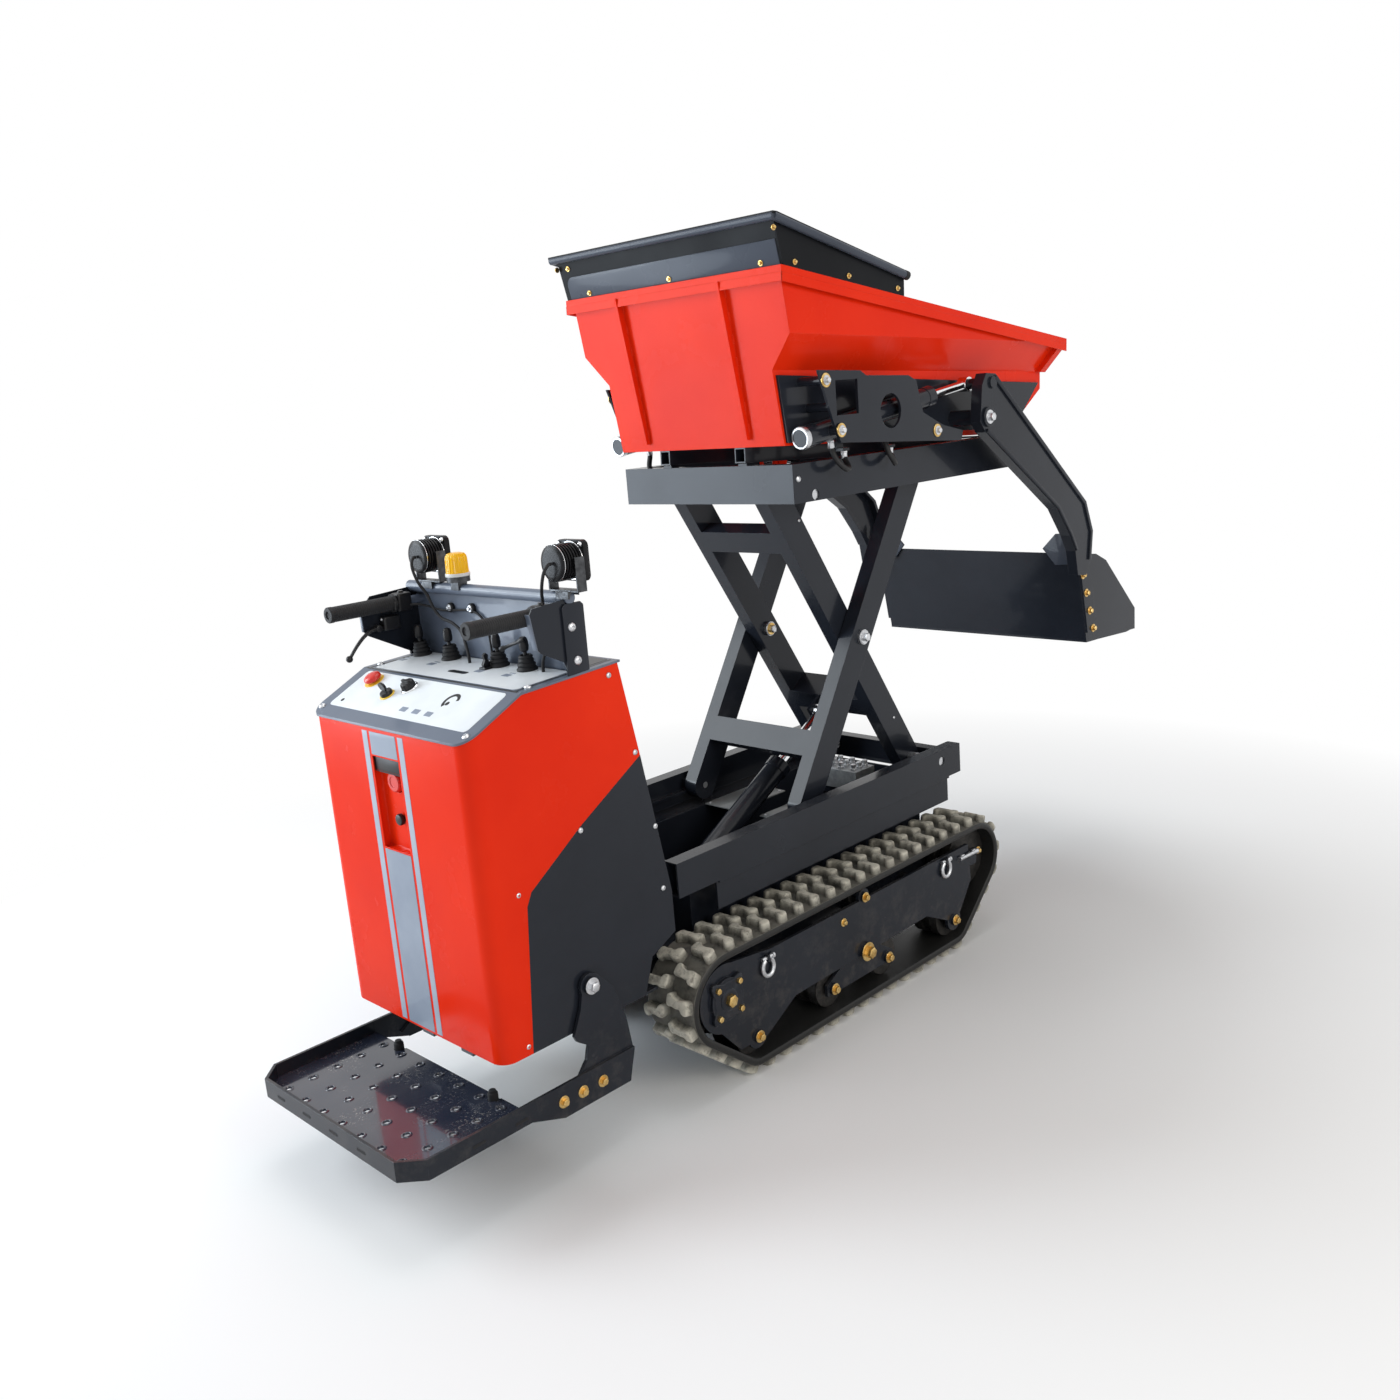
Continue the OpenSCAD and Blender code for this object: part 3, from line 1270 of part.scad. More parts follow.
// Rim guard: rear sheet, two side wedges, a top lip and a foot on the rim
module guard() {
    x0 = -skip_lean - 4;
    x1 = x0 + guard_len;
    top = rim_h(x0) + guard_h;
    y1 = skip_top_half + 14;
    back = 36;
    color("#2b2f34") in_skip() {
        both() {
            plate_y([[x0, rim_h(x0) + 0.2], [x1, rim_h(x1) + 0.2], [x1, rim_h(x1) + 64], [x0 - back, top]], y1, y1 + 4);
            plate_y([[x0 - back, top - 6], [x1, rim_h(x1) + 58], [x1, rim_h(x1) + 64], [x0 - back, top]],
                    y1 + 3, y1 + 20);
            plate_y([[x0, rim_h(x0) + 0.2], [x1, rim_h(x1) + 0.2], [x1, rim_h(x1) + 4], [x0, rim_h(x0) + 4]],
                    y1 - 14, y1 + 1);
        }
        plate_y([[x0 - 1, rim_h(x0) + 0.3], [x0 + 4, rim_h(x0 + 4) + 0.2], [x0 - back + 4, top], [x0 - back, top]],
                -y1 - 1, y1 + 1);
        plate_y([[x0 - back - 16, top - 6], [x0 - back + 3, top - 6], [x0 - back + 3, top], [x0 - back - 16, top]],
                -y1 - 20, y1 + 20);
    }
}

// Loader plates bolted to the skip, with the arm pivots and spacers
module loader_plates() {
    y0 = skip_low_half + 0.2;
    y1 = y0 + 8;
    y3 = outer_plate_in + 8;
    color("#33383e") both() difference() {
        union() {
            plate_y([[-134, 1857], [1186, 1776], [1034, 1641], [-108, 1679]], y0, y1);
            plate_y([[-76, 1861], [103, 1853], [128, 1839], [323, 1831], [360, 1815], [389, 1724], [488, 1681],
                     [592, 1659], [580, 1630], [5, 1668], [-25, 1729]], outer_plate_in, y3);
            for (p = [[-48, 1834], [-18, 1764], [330, 1806]]) bar_y(p, 12, y1 - 1, outer_plate_in + 1);
            bar_y(load_p, 24, y1 - 1, load_arm_in - slip);
            bar_y(load_p, 18, y1, load_arm_out + 6);
            bar_y(load_p, 30, load_arm_out + slip, load_arm_out + 7);
            // Hose tabs
            for (t = [[96, 1640], [310, 1632]]) {
                block([t[0], y0, t[1]], [t[0] + 28, y1, t[1] + 40]);
                block([t[0], y1 - 1, t[1]], [t[0] + 28, 352, t[1] + 8]);
            }
        }
        block([-8, outer_plate_in - 1, 1740], [88, y3 + 1, 1832]);
        bar_y([234, 1738], 48, outer_plate_in - 1, y3 + 1);
        bar_y(trunnion, 14 + run, y0 - 1, y3 + 1);
    }
}

// Loader arms: bent channels from the pivot to the shovel, open towards the skip
module loader_arms() {
    color("#33383e") both() difference() {
        union() {
            plate_y(arm_outline, load_arm_in, load_arm_out);
            plate_y(arm_leg, load_arm_in, load_arm_in + 8.5);
            bar_y(load_pin, 16, load_cyl_y + load_rod_r + 2.3, load_arm_in + 1);
            bar_y(load_pin, 18, load_arm_out - 1, load_arm_out + 6);
        }
        plate_y(arm_pocket, load_arm_in - 1, load_arm_out - 8);
        bar_y(load_p, 18 + run, load_arm_in - 1, load_arm_out + 1);
    }
}

// Shovel: back plate, floor with cutting edge, sides and gussets
module shovel() {
    y1 = shovel_half - 6;
    z0 = shovel_low;
    top = z0 + shovel_back_h;
    color("#33383e") {
        plate_y([[shovel_rear, z0 - 4], [shovel_rear + 6, z0 - 4], [shovel_rear + 6, z0], [back_x(top), top],
                 [back_x(top) - 6, top], [shovel_rear, z0]], -y1 - 1, y1 + 1);
        plate_y([[shovel_rear, z0], [shovel_front - 70, z0 - 15], [shovel_front, z0 - 22], [shovel_front - 70, z0 - 27],
                 [shovel_rear, z0 - 8]], -y1 - 1, y1 + 1);
        both() {
            plate_y([[shovel_rear, z0 - 8], [shovel_front - 12, z0 - 24], [shovel_front - 12, z0 + 54],
                     [shovel_rear + 148, z0 + 264], [shovel_rear + 76, z0 + 296], [back_x(top) - 6, top],
                     [shovel_rear, z0]], y1, shovel_half);
            plate_x([[load_arm_in, top - 40], [load_arm_in, top + 92], [load_arm_in - 56, top - 2],
                     [load_arm_in - 56, top - 40]], back_x(top) - 10, back_x(top) - 4);
        }
    }
}

module loader_barrels() {
    a = aim_a(trunnion, load_pin);
    color("#33383e") both() {
        aim(trunnion, a) translate([0, load_cyl_y, 0]) difference() {
            union() {
                bar_x([0, 0], load_barrel_r, -92, 505);
                bar_x([0, 0], load_barrel_r + 1.5, 471, 505);
                bar_x([0, 0], load_barrel_r - 4, -100, -91);
            }
            bar_x([0, 0], load_rod_r + run, 160, 506);
        }
        bar_y(trunnion, 14, skip_low_half + 1, load_cyl_y - load_barrel_r + 6);
        bar_y(trunnion, 14, load_cyl_y + load_barrel_r - 6, outer_plate_in + 12);
    }
}

module loader_rods() {
    a = aim_a(trunnion, load_pin);
    color("#c9cdd2") both() aim(trunnion, a) translate([0, load_cyl_y, 0]) {
        bar_x([0, 0], load_rod_r, 320, load_l - 14);
        bar_y([load_l, 0], 22, -load_rod_r - 1.5, load_rod_r + 1.5);
    }
}

// Hoses from the loader barrels' ports down and back up to the tabs
hose_a = [[30, 362, 1674.2], [32.8, 362, 1652.4], [36, 372, 1626], [46, 382, 1606], [64, 384, 1594], [84, 378, 1592],
          [98, 366, 1600], [106, 352, 1612], [109, 344, 1626], [109, 344, 1639.6]];
hose_b = [[262, 362, 1704.2], [264.8, 362, 1682.4], [267, 372, 1646], [272, 380, 1618], [284, 384, 1598], [300, 378, 1588],
          [314, 364, 1594], [321, 352, 1606], [324, 344, 1618], [324, 344, 1631.6]];
module loader_hoses() {
    color("#101113") both() {
        lead(hose_a, 8);
        lead(hose_b, 8);
    }
}

translate([datum_x, 0, 0]) {
    chassis_frame();
    track_frame_right();
    track_frame_left();
    track_right();
    track_left();
    shackles();
    drive_motors();
    sprocket_right();
    sprocket_left();
    idlers();
    roller_1();
    roller_2();
    roller_3();
    roller_4();
    carrier_rollers();
    engine();
    fuel_tank();
    tank_cap();
    battery();
    valve_bank();
    console_cover();
    console_panels();
    dash_plate();
    bar_panel();
    grips();
    brake_lever();
    lever_1();
    lever_2();
    lever_3();
    lever_4();
    lever_boots();
    e_stop();
    key();
    rotary_knob();
    lamp_right();
    lamp_left();
    lamp_brackets();
    beacon();
    lamp_cables();
    platform();
    tread_plate();
    bumpers();
    inner_arms();
    outer_arms();
    arm_pins();
    arm_rollers();
    lift_barrel();
    lift_rod();
    on_lift() upper_frame();
    on_lift() tip_barrel();
    on_lift() tip_rod();
    on_lift() skip();
    on_lift() skip_bearers();
    on_lift() guard();
    on_lift() loader_plates();
    on_lift() loader_arms();
    on_lift() shovel();
    on_lift() loader_barrels();
    on_lift() loader_rods();
    on_lift() loader_hoses();
}
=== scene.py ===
# %% [markdown]
# # Dressing a tracked power carrier
# The CAD frame brings every solid of the machine, in metres and in place: tracks, chassis, scissor
# lift, skip, loader and console. This lesson gives the solids their finishes and adds what a CAD
# model leaves out, such as bolts, rubber lugs, lamp fins, leads and decals.

# %% Load the frame
import math

import bmesh
import bpy
from mathutils import Matrix, Vector


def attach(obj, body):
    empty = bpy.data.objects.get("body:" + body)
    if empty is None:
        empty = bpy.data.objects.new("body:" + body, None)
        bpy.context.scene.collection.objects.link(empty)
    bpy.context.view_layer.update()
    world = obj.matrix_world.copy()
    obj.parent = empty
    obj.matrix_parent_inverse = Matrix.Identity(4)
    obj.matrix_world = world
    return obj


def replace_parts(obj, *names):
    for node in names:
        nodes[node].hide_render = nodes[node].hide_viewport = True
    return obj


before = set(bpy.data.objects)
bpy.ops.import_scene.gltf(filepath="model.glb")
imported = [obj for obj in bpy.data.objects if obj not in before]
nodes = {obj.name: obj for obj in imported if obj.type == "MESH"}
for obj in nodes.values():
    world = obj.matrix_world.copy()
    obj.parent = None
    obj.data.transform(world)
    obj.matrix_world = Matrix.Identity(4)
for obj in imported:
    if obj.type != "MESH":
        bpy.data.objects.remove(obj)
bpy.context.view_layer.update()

# %% [markdown]
# The drawing of the machine has its zero in the middle of the tracks, while the frame's zero is the
# middle of the overall box. One small helper turns a drawing point in millimetres into a frame point,
# so that every number below can be read against the drawing.

# %% Drawing points
MM = 0.001
DATUM = -84.0


def at(x, y, z):
    return Vector(((x + DATUM) * MM, y * MM, z * MM))


def placed(name, data):
    made = bpy.data.objects.new(name, data)
    bpy.context.scene.collection.objects.link(made)
    return made


print("drawing zero in the frame:", at(0, 0, 0))

# %% [markdown]
# The camera comes first. The picture was taken with a moderately wide lens from behind the machine,
# a little to its right and at head height, with the camera rolled by a few degrees. The three axes
# below were fitted to straight edges of the machine, so the render lines up with the photograph.

# %% Camera
VIEW_FORWARD = Vector((0.68272012, 0.6940121, -0.22856168))
VIEW_RIGHT = Vector((0.69757616, -0.71216771, -0.07876968))
VIEW_UP = Vector((0.21744136, 0.10566153, 0.97033752))
VIEW_FROM = (-2762.2, -2612.8, 1814.0)
FOCAL_PIXELS = 1281.4754
FRAME_PIXELS = 1400
SENSOR = 36.0

lens = bpy.data.cameras.new("camera")
lens.sensor_width = SENSOR
lens.lens = SENSOR * FOCAL_PIXELS / FRAME_PIXELS
lens.clip_start = 0.05
lens.clip_end = 200.0
camera = placed("camera", lens)
heading = Matrix((VIEW_RIGHT, VIEW_UP, -VIEW_FORWARD)).transposed().to_4x4()
camera.matrix_world = Matrix.Translation(at(*VIEW_FROM)) @ heading
bpy.context.scene.camera = camera
print("lens:", round(lens.lens, 2), "mm")

# %% [markdown]
# Finishes are node trees. Each one starts from the Principled shader and adds what the real surface
# shows: clouded colour, a fine grain in the bump, dust that settles on upward faces near the ground,
# and edges that catch the light. The helpers keep the trees short to write: one makes a node and feeds
# its sockets, with a number or with another node's output, and the rest are built on it.

# %% Shader helpers
def new_finish(name):
    finish = bpy.data.materials.new(name)
    finish.use_nodes = True
    tree = finish.node_tree
    return finish, tree, tree.nodes["Principled BSDF"]


def wire(tree, made, sockets):
    for socket, value in sockets.items():
        if isinstance(value, bpy.types.NodeSocket):
            tree.links.new(value, made.inputs[socket])
        else:
            made.inputs[socket].default_value = value
    return made


def node(tree, kind, sockets=None):
    return wire(tree, tree.nodes.new("ShaderNode" + kind), sockets or {})


def noise(tree, scale, detail=3.0, rough=0.55):
    place = node(tree, "TexCoord").outputs["Object"]
    made = node(tree, "TexNoise", {"Vector": place, "Scale": scale, "Detail": detail, "Roughness": rough})
    return made.outputs["Fac"]


def spread(tree, value, low, high, new_low=0.0, new_high=1.0):
    limits = {"From Min": low, "From Max": high, "To Min": new_low, "To Max": new_high}
    return node(tree, "MapRange", {"Value": value, **limits}).outputs["Result"]


def patches(tree, low, high, scale, detail=3.0, rough=0.55):
    return spread(tree, noise(tree, scale, detail, rough), low, high)


def combine(tree, how, a, b):
    made = node(tree, "Math")
    made.operation = how
    made.use_clamp = True
    return wire(tree, made, {0: a, 1: b}).outputs[0]


def times(tree, first, *others):
    product = first
    for value in others:
        product = combine(tree, "MULTIPLY", product, value)
    return product


def tint(tree, share, a, b):
    made = node(tree, "Mix")
    made.data_type = "RGBA"
    return wire(tree, made, {0: share, 6: a, 7: b}).outputs[2]


def height_of(tree, kind, output):
    origin = node(tree, kind).outputs[output]
    return node(tree, "SeparateXYZ", {0: origin}).outputs["Z"]


def upward(tree):
    return spread(tree, height_of(tree, "NewGeometry", "Normal"), 0.35, 0.95)


def low_down(tree, top):
    return spread(tree, height_of(tree, "TexCoord", "Object"), top, 0.0)


def soft_edge(tree, shade, radius, grain, strength, depth):
    rounded = node(tree, "Bevel", {"Radius": radius})
    rounded.samples = 4
    normal = rounded.outputs[0]
    bump = node(tree, "Bump", {"Strength": strength, "Distance": depth, "Height": grain, "Normal": normal})
    wire(tree, shade, {"Normal": bump.outputs[0]})
    dot = node(tree, "VectorMath")
    dot.operation = "DOT_PRODUCT"
    wire(tree, dot, {0: normal, 1: node(tree, "NewGeometry").outputs["True Normal"]})
    return spread(tree, dot.outputs["Value"], 0.995, 0.86)


print("shader helpers ready")

# %% [markdown]
# The body is powder-coated and clear-coated sheet steel in two colours. Real paint is never one flat
# value: it is slightly clouded, has a faint orange-peel skin, thins out along folded edges and takes
# dust near the ground. A coat layer over a rougher base gives the double highlight of gloss paint.

# %% Paints
DUST = (0.34, 0.30, 0.25, 1)
SCUFFED = (0.42, 0.39, 0.35, 1)
FOLD_RADIUS = 0.0022


def paint(name, dark, light, edge, rough, coat, dust, gloss=0.3, scuff=0.0):
    finish, tree, shade = new_finish(name)
    colour = tint(tree, patches(tree, 0.3, 0.7, 2.3, 4.0), dark, light)
    worn = soft_edge(tree, shade, FOLD_RADIUS, noise(tree, 420.0, 2.0), 0.05, 0.0003)
    thinned = times(tree, worn, 0.55, patches(tree, 0.42, 0.72, 31.0, 5.0, 0.7))
    colour = tint(tree, thinned, colour, edge)
    settled = times(tree, low_down(tree, 0.9), upward(tree), patches(tree, 0.38, 0.75, 9.0, 6.0, 0.7))
    splashed = times(tree, low_down(tree, 0.42), patches(tree, 0.5, 0.8, 17.0, 6.0, 0.7))
    dirt = times(tree, combine(tree, "MAXIMUM", settled, splashed), dust)
    colour = tint(tree, dirt, colour, DUST)
    if scuff > 0:
        trodden = patches(tree, 0.47, 0.60, 8.0, 2.0)
        specks = patches(tree, 0.57, 0.66, 170.0, 5.0, 0.75)
        colour = tint(tree, times(tree, trodden, specks, scuff), colour, SCUFFED)
    smear = spread(tree, noise(tree, 6.0, 5.0), 0.3, 0.7, rough * 0.8, rough * 1.25)
    dulled = combine(tree, "ADD", smear, times(tree, dirt, 0.35))
    wire(tree, shade, {"Base Color": colour, "Roughness": dulled, "Coat Weight": coat,
                       "Coat Roughness": 0.07, "Specular IOR Level": gloss})
    return finish


red_paint = paint("red_paint", (0.70, 0.019, 0.003, 1), (0.80, 0.030, 0.005, 1), (0.90, 0.16, 0.07, 1),
                  0.24, 0.06, 0.08, 0.05)
dark_paint = paint("dark_paint", (0.0115, 0.0138, 0.0195, 1), (0.0180, 0.0214, 0.0300, 1),
                   (0.10, 0.115, 0.14, 1), 0.22, 0.20, 0.22, 0.13)
# The guard's paint is the dark paint made near black and matt: painted shade for the shadow under its bead.
guard_painted_shade = paint("guard_painted_shade", (0.0060, 0.0066, 0.0080, 1), (0.0100, 0.0108, 0.0128, 1),
                    (0.07, 0.078, 0.09, 1), 0.40, 0.03, 0.1, 0.06)
# A lightened, bluish copy of the dark paint for the guard's bead and second layer and the shovel's ears: a
# painted sky sheen.
painted_sky_sheen = paint("painted_sky_sheen", (0.042, 0.050, 0.068, 1), (0.056, 0.066, 0.088, 1),
                    (0.15, 0.17, 0.21, 1), 0.28, 0.10, 0.1, 0.12)
# The tread's paint is dark with a blue tint, and the blue tint is a painted sky reflection.
tread_paint_and_painted_sky = paint("tread_paint_and_painted_sky", (0.017, 0.022, 0.040, 1), (0.027, 0.034, 0.058, 1),
                    (0.16, 0.18, 0.22, 1), 0.14, 0.7, 0.1, scuff=0.8)
# A blue-grey paint for the dash plate, the shield, its tube and the wing flanges: partly their grey and
# partly a painted sky reflection.
bezel_grey_and_painted_sky = paint("bezel_grey_and_painted_sky", (0.098, 0.120, 0.165, 1), (0.116, 0.142, 0.190, 1),
                    (0.32, 0.36, 0.42, 1), 0.42, 0.25, 0.0)
print("paints:", red_paint.name, dark_paint.name, bezel_grey_and_painted_sky.name)

# %% [markdown]
# Fasteners and rods are bare metal. Yellow-zinc bolts have a warm, slightly blotchy colour, white-zinc
# ones are a cool grey, and the cylinder rods are hard chrome with a fine turned line. Metals differ
# mostly in roughness, so that is what the noise drives. The black skin of the lamps is anodised, and
# acts like a dark lacquer on the metal.

# %% Metals
def grained(name, dark, light, clouds, pores, rough, radius, strength, depth, settings):
    finish, tree, shade = new_finish(name)
    grain = noise(tree, *pores)
    colour = tint(tree, patches(tree, *clouds), dark, light)
    matt = spread(tree, grain, 0.3, 0.7, *rough)
    wire(tree, shade, {"Base Color": colour, "Roughness": matt, **settings})
    soft_edge(tree, shade, radius, grain, strength, depth)
    return finish


def metal(name, dark, light, rough, grain=160.0, strength=0.08, radius=0.0008, metallic=1.0, gloss=0.5):
    return grained(name, dark, light, (0.35, 0.68, 55.0, 4.0, 0.65), (grain, 3.0, 0.6),
                   (rough * 0.75, rough * 1.35), radius, strength, 0.0002,
                   {"Metallic": metallic, "Specular IOR Level": gloss})


gold_zinc = metal("yellow_zinc", (0.55, 0.34, 0.10, 1), (0.86, 0.62, 0.26, 1), 0.30)
white_zinc = metal("white_zinc", (0.50, 0.51, 0.53, 1), (0.72, 0.73, 0.75, 1), 0.32)
chrome = metal("hard_chrome", (0.78, 0.79, 0.81, 1), (0.86, 0.87, 0.88, 1), 0.10, 700.0, 0.02)
cast_iron = metal("cast_iron", (0.045, 0.044, 0.043, 1), (0.085, 0.08, 0.075, 1), 0.55, 240.0, 0.35, 0.002)
cast_alloy = metal("cast_alloy", (0.30, 0.31, 0.32, 1), (0.42, 0.43, 0.44, 1), 0.50, 320.0, 0.3, 0.002)
lamp_metal = metal("black_anodised", (0.006, 0.006, 0.007, 1), (0.012, 0.012, 0.014, 1), 0.30, 260.0,
                   metallic=0.0, gloss=0.14)
yoke_steel = metal("yoke_steel", (0.05, 0.052, 0.056, 1), (0.10, 0.104, 0.11, 1), 0.38)
print("metals ready")

# %% [markdown]
# Rubber and plastic come last. The belts are black rubber whose lug tops are grey with dried mud, so
# their finish reads a value that the belt mesh carries for how far a point stands off the belt. Grips,
# boots and hoses are clean black rubber. The lamp glass and the beacon let light through.

# %% Rubber, plastic and glass
def rubber(name, dark, light, rough, grain, strength):
    return grained(name, dark, light, (0.35, 0.7, 12.0, 5.0, 0.65), (grain, 4.0, 0.65),
                   (rough * 0.85, rough * 1.15), 0.0012, strength, 0.0005, {"Specular IOR Level": 0.3})


def plastic(name, dark, light, rough, coat=0.0):
    return grained(name, dark, light, (0.35, 0.65, 8.0, 3.0), (520.0, 2.0),
                   (rough * 0.9, rough * 1.1), 0.001, 0.12, 0.0003,
                   {"Specular IOR Level": 0.3, "Coat Weight": coat})


def track_rubber_finish():
    finish, tree, shade = new_finish("track_rubber")
    rise = node(tree, "Attribute")
    rise.attribute_name = "lug_rise"
    mud = patches(tree, 0.36, 0.62, 34.0, 7.0, 0.72)
    caked = times(tree, spread(tree, rise.outputs["Fac"], 0.30, 0.85), patches(tree, 0.18, 0.46, 14.0, 5.0))
    cover = times(tree, caked, combine(tree, "ADD", mud, 0.45))
    black = tint(tree, noise(tree, 20.0, 4.0), (0.008, 0.008, 0.008, 1), (0.018, 0.018, 0.017, 1))
    clay = tint(tree, noise(tree, 60.0, 5.0), (0.40, 0.385, 0.32, 1), (0.70, 0.67, 0.58, 1))
    wire(tree, shade, {"Base Color": tint(tree, cover, black, clay), "Specular IOR Level": 0.3,
                       "Roughness": spread(tree, cover, 0.0, 0.5, 0.42, 0.9)})
    soft_edge(tree, shade, 0.0015, noise(tree, 190.0, 5.0, 0.7), 0.5, 0.0012)
    return finish


def clear(name, colour, rough, through):
    finish, tree, shade = new_finish(name)
    paler = tuple(min(1, c * 1.15) for c in colour)
    wire(tree, shade, {"Base Color": tint(tree, noise(tree, 90.0, 2.0), colour, paler), "Roughness": rough,
                       "Transmission Weight": through, "IOR": 1.49, "Specular IOR Level": 0.35})
    return finish


track_rubber = track_rubber_finish()
black_rubber = rubber("black_rubber", (0.008, 0.008, 0.009, 1), (0.016, 0.016, 0.018, 1), 0.62, 300.0, 0.3)
hose_rubber = rubber("hose_rubber", (0.010, 0.010, 0.011, 1), (0.020, 0.020, 0.021, 1), 0.5, 420.0, 0.2)
black_plastic = plastic("black_plastic", (0.007, 0.007, 0.008, 1), (0.012, 0.012, 0.014, 1), 0.32)
red_plastic = plastic("red_plastic", (0.55, 0.018, 0.012, 1), (0.66, 0.028, 0.018, 1), 0.33, 0.3)
yellow_plastic = plastic("yellow_plastic", (0.80, 0.50, 0.02, 1), (0.88, 0.58, 0.04, 1), 0.36, 0.2)
white_decal = plastic("white_decal", (0.76, 0.79, 0.82, 1), (0.82, 0.85, 0.87, 1), 0.42, 0.15)
grey_decal = plastic("grey_decal", (0.22, 0.26, 0.33, 1), (0.26, 0.30, 0.37, 1), 0.42, 0.2)
pale_decal = plastic("pale_decal", (0.31, 0.35, 0.43, 1), (0.36, 0.40, 0.48, 1), 0.42, 0.2)
amber_lens = clear("amber_lens", (1.0, 0.50, 0.0, 1), 0.14, 0.12)
lamp_glass = clear("lamp_glass", (0.92, 0.94, 0.96, 1), 0.03, 0.9)
print("rubber and plastic ready")

# %% [markdown]
# Every solid of the frame gets one of these finishes. The table below goes by the machine's own build:
# welded parts are dark, the tray and the upper cover are red, and pins and rods are bare metal. Some
# entries go by light as well: the guard's near-black paint is painted shade, the blue-grey of the dash
# plate and the shield is partly a painted sky reflection, and so is the tread's blue tint.

# %% Finishes for the solids
by_finish = {
    red_paint: "console_cover skip fuel_tank",
    bezel_grey_and_painted_sky: "dash_plate bar_panel",
    tread_paint_and_painted_sky: "tread_plate",
    guard_painted_shade: "guard",
    cast_iron: "sprocket_right sprocket_left idlers roller_1 roller_2 roller_3 roller_4 carrier_rollers",
    white_zinc: "shackles arm_pins arm_rollers key",
    yoke_steel: "lamp_brackets",
    chrome: "lift_rod tip_rod loader_rods",
    cast_alloy: "engine valve_bank",
    red_plastic: "tank_cap e_stop",
    black_plastic: "battery rotary_knob lever_1 lever_2 lever_3 lever_4 brake_lever",
    black_rubber: "grips lever_boots bumpers lamp_cables",
    hose_rubber: "loader_hoses",
    track_rubber: "track_right track_left",
    lamp_metal: "lamp_right lamp_left",
    amber_lens: "beacon",
}
finish_of = {name: finish for finish, names in by_finish.items() for name in names.split()}
for name, solid in nodes.items():
    solid.data.materials.clear()
    solid.data.materials.append(finish_of.get(name, dark_paint))
print("dark painted:", sorted(n for n in nodes if n not in finish_of))

# %% [markdown]
# Most added pieces are turned, extruded or swept, so a few small mesh builders cover them. A builder
# adds to a bmesh, and one piece can hold many copies: all bolts of one kind on one moving body are a
# single object, which keeps the scene light and still moves correctly.

# %% Mesh builders
SIDES = (-1, 1)
TIP_R = 0.02
BEVEL_PROFILE = 0.6


def turns(count):
    return [2 * math.pi * k / count for k in range(count)]


def wrap(bm, rows, closed=False):
    for a, b in zip(rows, rows[1:] + rows[:1] if closed else rows[1:]):
        for i in range(len(a)):
            j = (i + 1) % len(a)
            bm.faces.new((a[i], a[j], b[j], b[i]))


def close(bm, rows, caps=(True, True)):
    wrap(bm, rows)
    if caps[0]:
        bm.faces.new(rows[0][::-1])
    if caps[1]:
        bm.faces.new(rows[-1])


def skin(bm, rings, caps=(True, True)):
    close(bm, [[bm.verts.new(p) for p in ring] for ring in rings], caps)


def square_to(axis):
    axis = axis.normalized()
    side = axis.orthogonal().normalized()
    return axis, side, axis.cross(side)


def turn(bm, base, axis, profile, count=28, phase=0.0):
    axis, side, up = square_to(axis)
    rings = []
    for radius, height in profile:
        ring = []
        for a in turns(count):
            out = side * math.cos(a + phase) + up * math.sin(a + phase)
            ring.append(base + axis * height * MM + out * max(radius, TIP_R) * MM)
        rings.append(ring)
    skin(bm, rings)


def bevel(bm, edges, radius, segments):
    bmesh.ops.bevel(bm, geom=list(edges), offset=radius * MM, segments=segments, profile=BEVEL_PROFILE,
                    affect="EDGES")


def rounded_block(bm, low, high, radius, segments=2):
    made = bmesh.ops.create_cube(bm, size=1.0)["verts"]
    size = high - low
    for v in made:
        v.co = Vector((low[i] + (v.co[i] + 0.5) * size[i] for i in range(3)))
    bevel(bm, {e for v in made for e in v.link_edges}, radius, segments)


def slab(bm, outline, rise, radius=0.0):
    face = bm.faces.new([bm.verts.new(p) for p in outline])
    grown = bmesh.ops.extrude_face_region(bm, geom=[face])["geom"]
    tops = {g for g in grown if isinstance(g, bmesh.types.BMVert)}
    bmesh.ops.translate(bm, vec=rise, verts=list(tops))
    if radius > 0:
        bevel(bm, {e for v in tops for e in v.link_edges if set(e.verts) <= tops}, radius, 2)


def piece(name, bm, finish, body, sharp=38.0):
    bmesh.ops.recalc_face_normals(bm, faces=bm.faces[:])
    mesh = bpy.data.meshes.new(name)
    bm.to_mesh(mesh)
    bm.free()
    mesh.materials.append(finish)
    mesh.shade_smooth()
    mesh.set_sharp_from_angle(angle=math.radians(sharp))
    made = placed(name, mesh)
    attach(made, body)
    return made


def turned(name, base, axis, profile, finish, body, count=28, sharp=38.0):
    bm = bmesh.new()
    turn(bm, base, axis, profile, count)
    return piece(name, bm, finish, body, sharp)


def smooth_path(points, steps):
    path = []
    for i in range(len(points) - 1):
        a = points[max(i - 1, 0)]
        b = points[i]
        c = points[i + 1]
        d = points[min(i + 2, len(points) - 1)]
        for k in range(steps):
            t = k / steps
            square = (2 * a - 5 * b + 4 * c - d) * t * t
            cube = (3 * b - a - 3 * c + d) * t ** 3
            path.append(0.5 * (2 * b + (c - a) * t + square + cube))
    path.append(points[-1].copy())
    return path


print("mesh builders ready")

# %% [markdown]
# Bolts tell the viewer how a machine is put together, and on this one they are bright yellow and white
# zinc against dark paint. A hex bolt is a washer, a hexagon with a turned chamfer and a shallow crown.
# Sheet metal is held by low button screws instead, drawn as shares of their radius.

